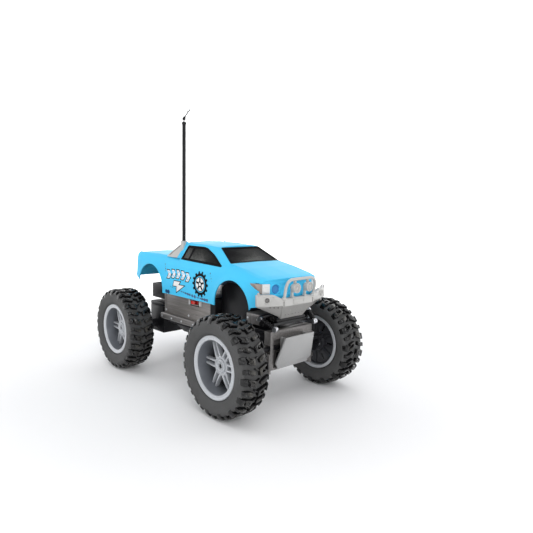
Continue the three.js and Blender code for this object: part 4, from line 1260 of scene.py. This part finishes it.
def spoke(angle, lean):
    """One bar of a pair: the two start apart on the hub and close up towards the barrel."""
    inner, outer = math.radians(18.5) * lean, math.radians(5.6) * lean
    a = np.array([math.cos(angle + inner), math.sin(angle + inner)]) * (HUB_R - 0.6)
    b = np.array([math.cos(angle + outer), math.sin(angle + outer)]) * 19.6
    along = (b - a) / np.linalg.norm(b - a)
    across = np.array([-along[1], along[0]])
    part = Part()
    rings = []
    for t in np.linspace(0, 1, 9):
        p = a + (b - a) * t
        width = 0.95 - 0.2 * math.sin(math.pi * t)
        top = 2.7 - 1.2 * t ** 1.5 + 0.25 * math.sin(math.pi * t)
        low = -0.6 - 0.8 * t
        section_ring = [(-width, low), (-width, top - 0.5), (-width * 0.65, top - 0.08), (0, top + 0.05),
                        (width * 0.65, top - 0.08), (width, top - 0.5), (width, low)]
        rings.append([(p[0] + across[0] * w, h, p[1] + across[1] * w) for w, h in section_ring])
    count = len(rings[0])
    points = [p for ring in rings for p in ring]
    faces = grid_faces(len(rings), count, True)
    faces += [tuple(range(count))[::-1], tuple((len(rings) - 1) * count + i for i in range(count))]
    return part.add(points, faces)


def web():
    """The closed disc behind the spokes, in painted shade, with ribs and narrow slots between its panels drawn as black
    strips of painted shade.
    """
    part = turned([
        (4.8, -5.6), (20.2, -5.6), (20.4, -6.8), (19.4, -7.1), (18.8, -6.4),
        (8.4, -6.4), (7.9, -7.9), (6.6, -8.3), (5.4, -7.9), (4.9, -7.0),
    ], 96)
    part.kinds = [3] * len(part.faces)

    def patch(outline, step, low, high, bevel, kind):
        a = 2 * math.pi * step / SPOKE_PAIRS
        turn = np.array([[math.cos(a), -math.sin(a)], [math.sin(a), math.cos(a)]])
        moved = [tuple(turn @ np.array(p)) for p in outline]
        part.merge(plate(moved, low, high, along_y(0, -1), bevel), kind=kind)

    rib = rectangle(8.0, 19.2, -0.5, 0.5)
    panel = [(9.3, 1.2), (18.0, 1.2), (17.4, 5.2), (15.4, 7.2), (8.6, 3.4)]
    for i in range(SPOKE_PAIRS):
        for outline, height, bevel in ((rib, 7.6, 0.25), (panel, 6.9, 0.4), ([(r, -s) for r, s in panel], 6.9, 0.4)):
            patch(rounded(outline, 0.6, 3), i + 0.5, 6.0, height, bevel, 3)
    # The slots are thin black strips: painted shade.
    for i in range(SPOKE_PAIRS):
        patch(rectangle(11.5, 16.5, -0.7, 0.7), i, 6.2, 6.55, 0.05, 2)
    return part


# ---- chassis fittings ----------------------------------------------------------------
def chassis_details():
    """Dampers, screws and raised ribs that the photograph shows round the chassis."""
    part = Part()
    knob = solid_turned([(0.01, -1.7), (1.9, -1.7), (2.2, -1.3), (2.2, 1.3), (1.9, 1.7), (0.01, 1.7)], 20)
    screws = [((68.0, 79.0), 26.0, 67.2), ((-44.5, -8.0, 13.5, 27.0), 28.45, 56.4),
              ((-48.2, -32.0, -16.0, 2.0, 18.0, 32.0), 30.95, 50.1)]      # x of each, |y| and z of the row
    for side in (-1, 1):
        for row, y, z in screws:
            for x in row:
                part.merge(screw(x, side * y, z, side), kind=2)
        start, end = Vector((83.4, side * 27.2, 69.0)), Vector((94.5, side * 22.4, 62.2))
        part.merge(strut(start, end), kind=1)
        for place in (start, end):
            part.merge(aimed(knob, place, (0.25, side, 0)), kind=2)
        for bar, height in (((-46.0, -45.2, 58.0, 75.0), 0.35), ((-45.2, 22.6, 58.0, 58.6), 0.25)):
            part.merge(plate(rounded(rectangle(*bar), 0.2, 3), -0.3, height, along_y(side * 28.4, side), 0.1))
    show("chassis_fittings", part, ["bracket", "gloss_black", "steel"], "chassis")


def switch_surround():
    """A black frame round the power switch, with a pale mark on each side."""
    near = along_y(-28.45, -1)
    part = Part()
    for bar in ((-4.7, -4.1, 66.3, 72.7), (6.7, 7.3, 66.3, 72.7), (-4.3, 6.9, 66.3, 66.9), (-4.3, 6.9, 72.1, 72.7)):
        part.merge(plate(rounded(rectangle(*bar), 0.2, 3), -0.3, 0.35, near, 0.12))
    for mark in ((-7.6, -4.9, 67.0, 71.4), (7.8, 11.6, 67.4, 71.6)):
        part.merge(plate(rounded(rectangle(*mark), 0.3, 4), -0.6, 0.5, near, 0.1), kind=1)
    show("switch_surround", part, ["gloss_black", "trim"], "chassis")


def screw(x, y, z, side):
    """A cross-head screw, seen as a dished disc."""
    head = [(0.01, 0.25), (0.45, 0.25), (0.5, 0.42), (0.85, 0.36), (1.05, 0.15), (1.05, -0.4), (0.01, -0.4)]
    return aimed(solid_turned(head, 20), (x, y, z), (0, side, 0))


def strut(start, end):
    """A short damper: a black rod with a raised gaiter of rings."""
    length = (end - start).length
    rings = 7
    profile = [(0.01, 0), (1.5, 0)]
    for k in range(rings):
        at = 1.0 + (length - 2.0) * k / rings
        profile += [(1.5, at), (2.1, at + 0.35), (2.1, at + 0.75), (1.5, at + 1.1)]
    profile += [(1.5, length), (0.01, length)]
    return aimed(solid_turned(profile, 24), start, end - start)


def add_wheels():
    tyre_mesh = tyre().mesh("tyre", [mat("sidewall"), mat("tread")])
    # The web and the inside of the barrel take darker copies of the rim plastic: painted shade.
    rim_mesh = rim().mesh("rim", [mat(look) for look in ("rim", "rim", "gloss_black", "rim_inside_painted_shade", "rim_barrel_painted_shade")])
    for corner in ("front_right", "front_left", "rear_right", "rear_left"):
        centre = centre_mm(corner + "_tyre")
        turn = Matrix.Rotation(math.pi if centre[1] < 0 else 0, 4, "Z")
        place = Matrix.Translation(Vector(centre * MM)) @ turn
        body = corner + "_wheel" if corner.startswith("front") else "rear_wheels"
        show(corner + "_tyre_detail", tyre_mesh, None, body, [corner + "_tyre"], place)
        show(corner + "_rim_detail", rim_mesh, None, body, [corner + "_rim"], place)


chassis_details()
switch_surround()
add_wheels()

# ---- CAD nodes that are shown ----------------------------------------------------------
NODE_LOOKS = {
    "trim": ["cab_rear_panel"],
    "bumper": ["front_bumper"],
    "skid": ["skid_plate"],
    "gloss_black": ["rear_window", "front_cross_bar"],
    "box": ["chassis_upper"],
    "chassis": ["chassis_lower", "front_axle_beam"],
    "bracket": ["front_bracket"],
    "black": [
        "battery_door", "front_yoke", "rear_yoke", "antenna_tube", "front_gearbox_case",
        "front_gearbox_lid", "rear_gearbox_case", "rear_gearbox_lid", "steering_servo", "tie_rod",
        "knuckle_right", "knuckle_left",
    ],
    "cell": ["battery_cell_1", "battery_cell_2", "battery_cell_3", "battery_cell_4"],
    "steel": [
        "contact_plate_right", "contact_plate_left", "front_pivot_pin", "rear_pivot_pin", "front_drive_motor",
        "rear_drive_motor", "front_drive_shaft", "rear_drive_shaft", "front_right_axle", "front_left_axle",
    ],
    "board": ["circuit_board"],
    "red": ["power_switch"],
    "brass": ["front_motor_pinion", "rear_motor_pinion"],
    "nylon": ["front_idler_gear", "rear_idler_gear", "servo_arm"],
}


def soften(node, width=0.25):
    """Welds and bevels a CAD node's edges with modifiers and shades its mesh smooth; its points stay as they are."""
    weld = node.modifiers.new("weld", "WELD")
    weld.merge_threshold = 1e-6
    bevel = node.modifiers.new("bevel", "BEVEL")
    bevel.limit_method = "ANGLE"
    bevel.angle_limit = math.radians(30)
    bevel.width = width * MM
    bevel.segments = 2
    bevel.harden_normals = True
    node.data.shade_smooth()


for look_name, node_names in NODE_LOOKS.items():
    for node_name in node_names:
        cad_node = frame["nodes"][node_name]
        cad_node.data.materials.clear()
        cad_node.data.materials.append(mat(look_name))
        soften(cad_node)


# ---- floor, light and camera -----------------------------------------------------------
def add_floor():
    """A round white floor that sweeps up into a wall behind the truck."""
    profile = [(r, 0.0) for r in (0.0, 0.2, 0.5, 0.9, 1.3, 1.7, 2.0)]
    profile += [(2.0 + 0.8 * math.sin(a), 0.8 - 0.8 * math.cos(a)) for a in np.linspace(0.12, math.pi / 2, 14)]
    profile += [(2.8, 1.6), (2.8, 2.6)]
    part = Part()
    steps = 72
    turns = np.linspace(0, 2 * math.pi, steps, endpoint=False)
    for r, z in profile:
        part.points += [(r * math.cos(a) * 1000, r * math.sin(a) * 1000, z * 1000) for a in turns]
    wall = range(7, len(profile) - 1)
    for i in range(len(profile) - 1):
        for j in range(steps):
            middle = turns[j] + math.pi / steps
            behind = math.cos(middle - math.radians(135.9)) > -0.1
            if i in wall and not behind:
                continue
            k = (j + 1) % steps
            part.faces.append((i * steps + j, i * steps + k, (i + 1) * steps + k, (i + 1) * steps + j))
    part.kinds = [0] * len(part.faces)
    look = Look("studio_white")
    look.link(look.ramp(look.noise(3, 2), [(0.3, colour(0.88, 0.88, 0.89)), (0.7, colour(0.92, 0.92, 0.92))]),
              look.shader.inputs["Base Color"])
    glow = look.grey_range(look.length(look.place), 0.0, 0.8, 0.16, 0.62)
    glow.node.interpolation_type = "SMOOTHSTEP"
    look.link(glow, look.shader.inputs["Emission Strength"])
    look.plain(Roughness=0.8, Emission_Color=colour(1, 1, 1))
    data = part.mesh("floor", [look.material])
    floor = bpy.data.objects.new("floor", data)
    bpy.context.scene.collection.objects.link(floor)


def add_light(name, place, target, size, power):
    light = bpy.data.lights.new(name, "AREA")
    light.shape = "RECTANGLE"
    light.size, light.size_y = size
    light.energy = power
    lamp = bpy.data.objects.new(name, light)
    lamp.location = place
    lamp.rotation_euler = (Vector(target) - Vector(place)).to_track_quat("-Z", "Y").to_euler()
    bpy.context.scene.collection.objects.link(lamp)


def add_studio():
    world = bpy.data.worlds.new("studio")
    world.use_nodes = True
    world.node_tree.nodes["Background"].inputs["Color"].default_value = (0.95, 0.97, 1.0, 1)
    world.node_tree.nodes["Background"].inputs["Strength"].default_value = 0.38
    bpy.context.scene.world = world
    centre = (0, 0, 0.08)
    add_light("softbox_top", (0.0, 0.0, 1.7), centre, (2.4, 2.4), 14.5)
    add_light("softbox_front", (1.3, -0.5, 0.75), centre, (0.8, 0.8), 6.5)
    add_light("softbox_side", (0.3, -1.4, 0.6), centre, (1.0, 0.6), 3.8)
    bpy.context.scene.view_settings.view_transform = "Standard"


def add_camera():
    azimuth, elevation, roll = 0.800610, 0.105304, 0.018982
    place = Vector((331.4, -262.38, 144.69)) * MM
    level = math.cos(elevation)
    back = Vector((math.sin(azimuth) * level, -math.cos(azimuth) * level, math.sin(elevation)))
    level = Vector((0, 0, 1)).cross(back).normalized()
    right = math.cos(roll) * level + math.sin(roll) * back.cross(level)
    up = back.cross(right)
    data = bpy.data.cameras.new("camera")
    data.sensor_width = 36
    data.lens = 31.378
    data.clip_start = 0.01
    camera = bpy.data.objects.new("camera", data)
    camera.matrix_world = Matrix.Translation(place) @ Matrix((right, up, back)).transposed().to_4x4()
    bpy.context.scene.collection.objects.link(camera)
    bpy.context.scene.camera = camera


add_floor()
add_studio()
add_camera()
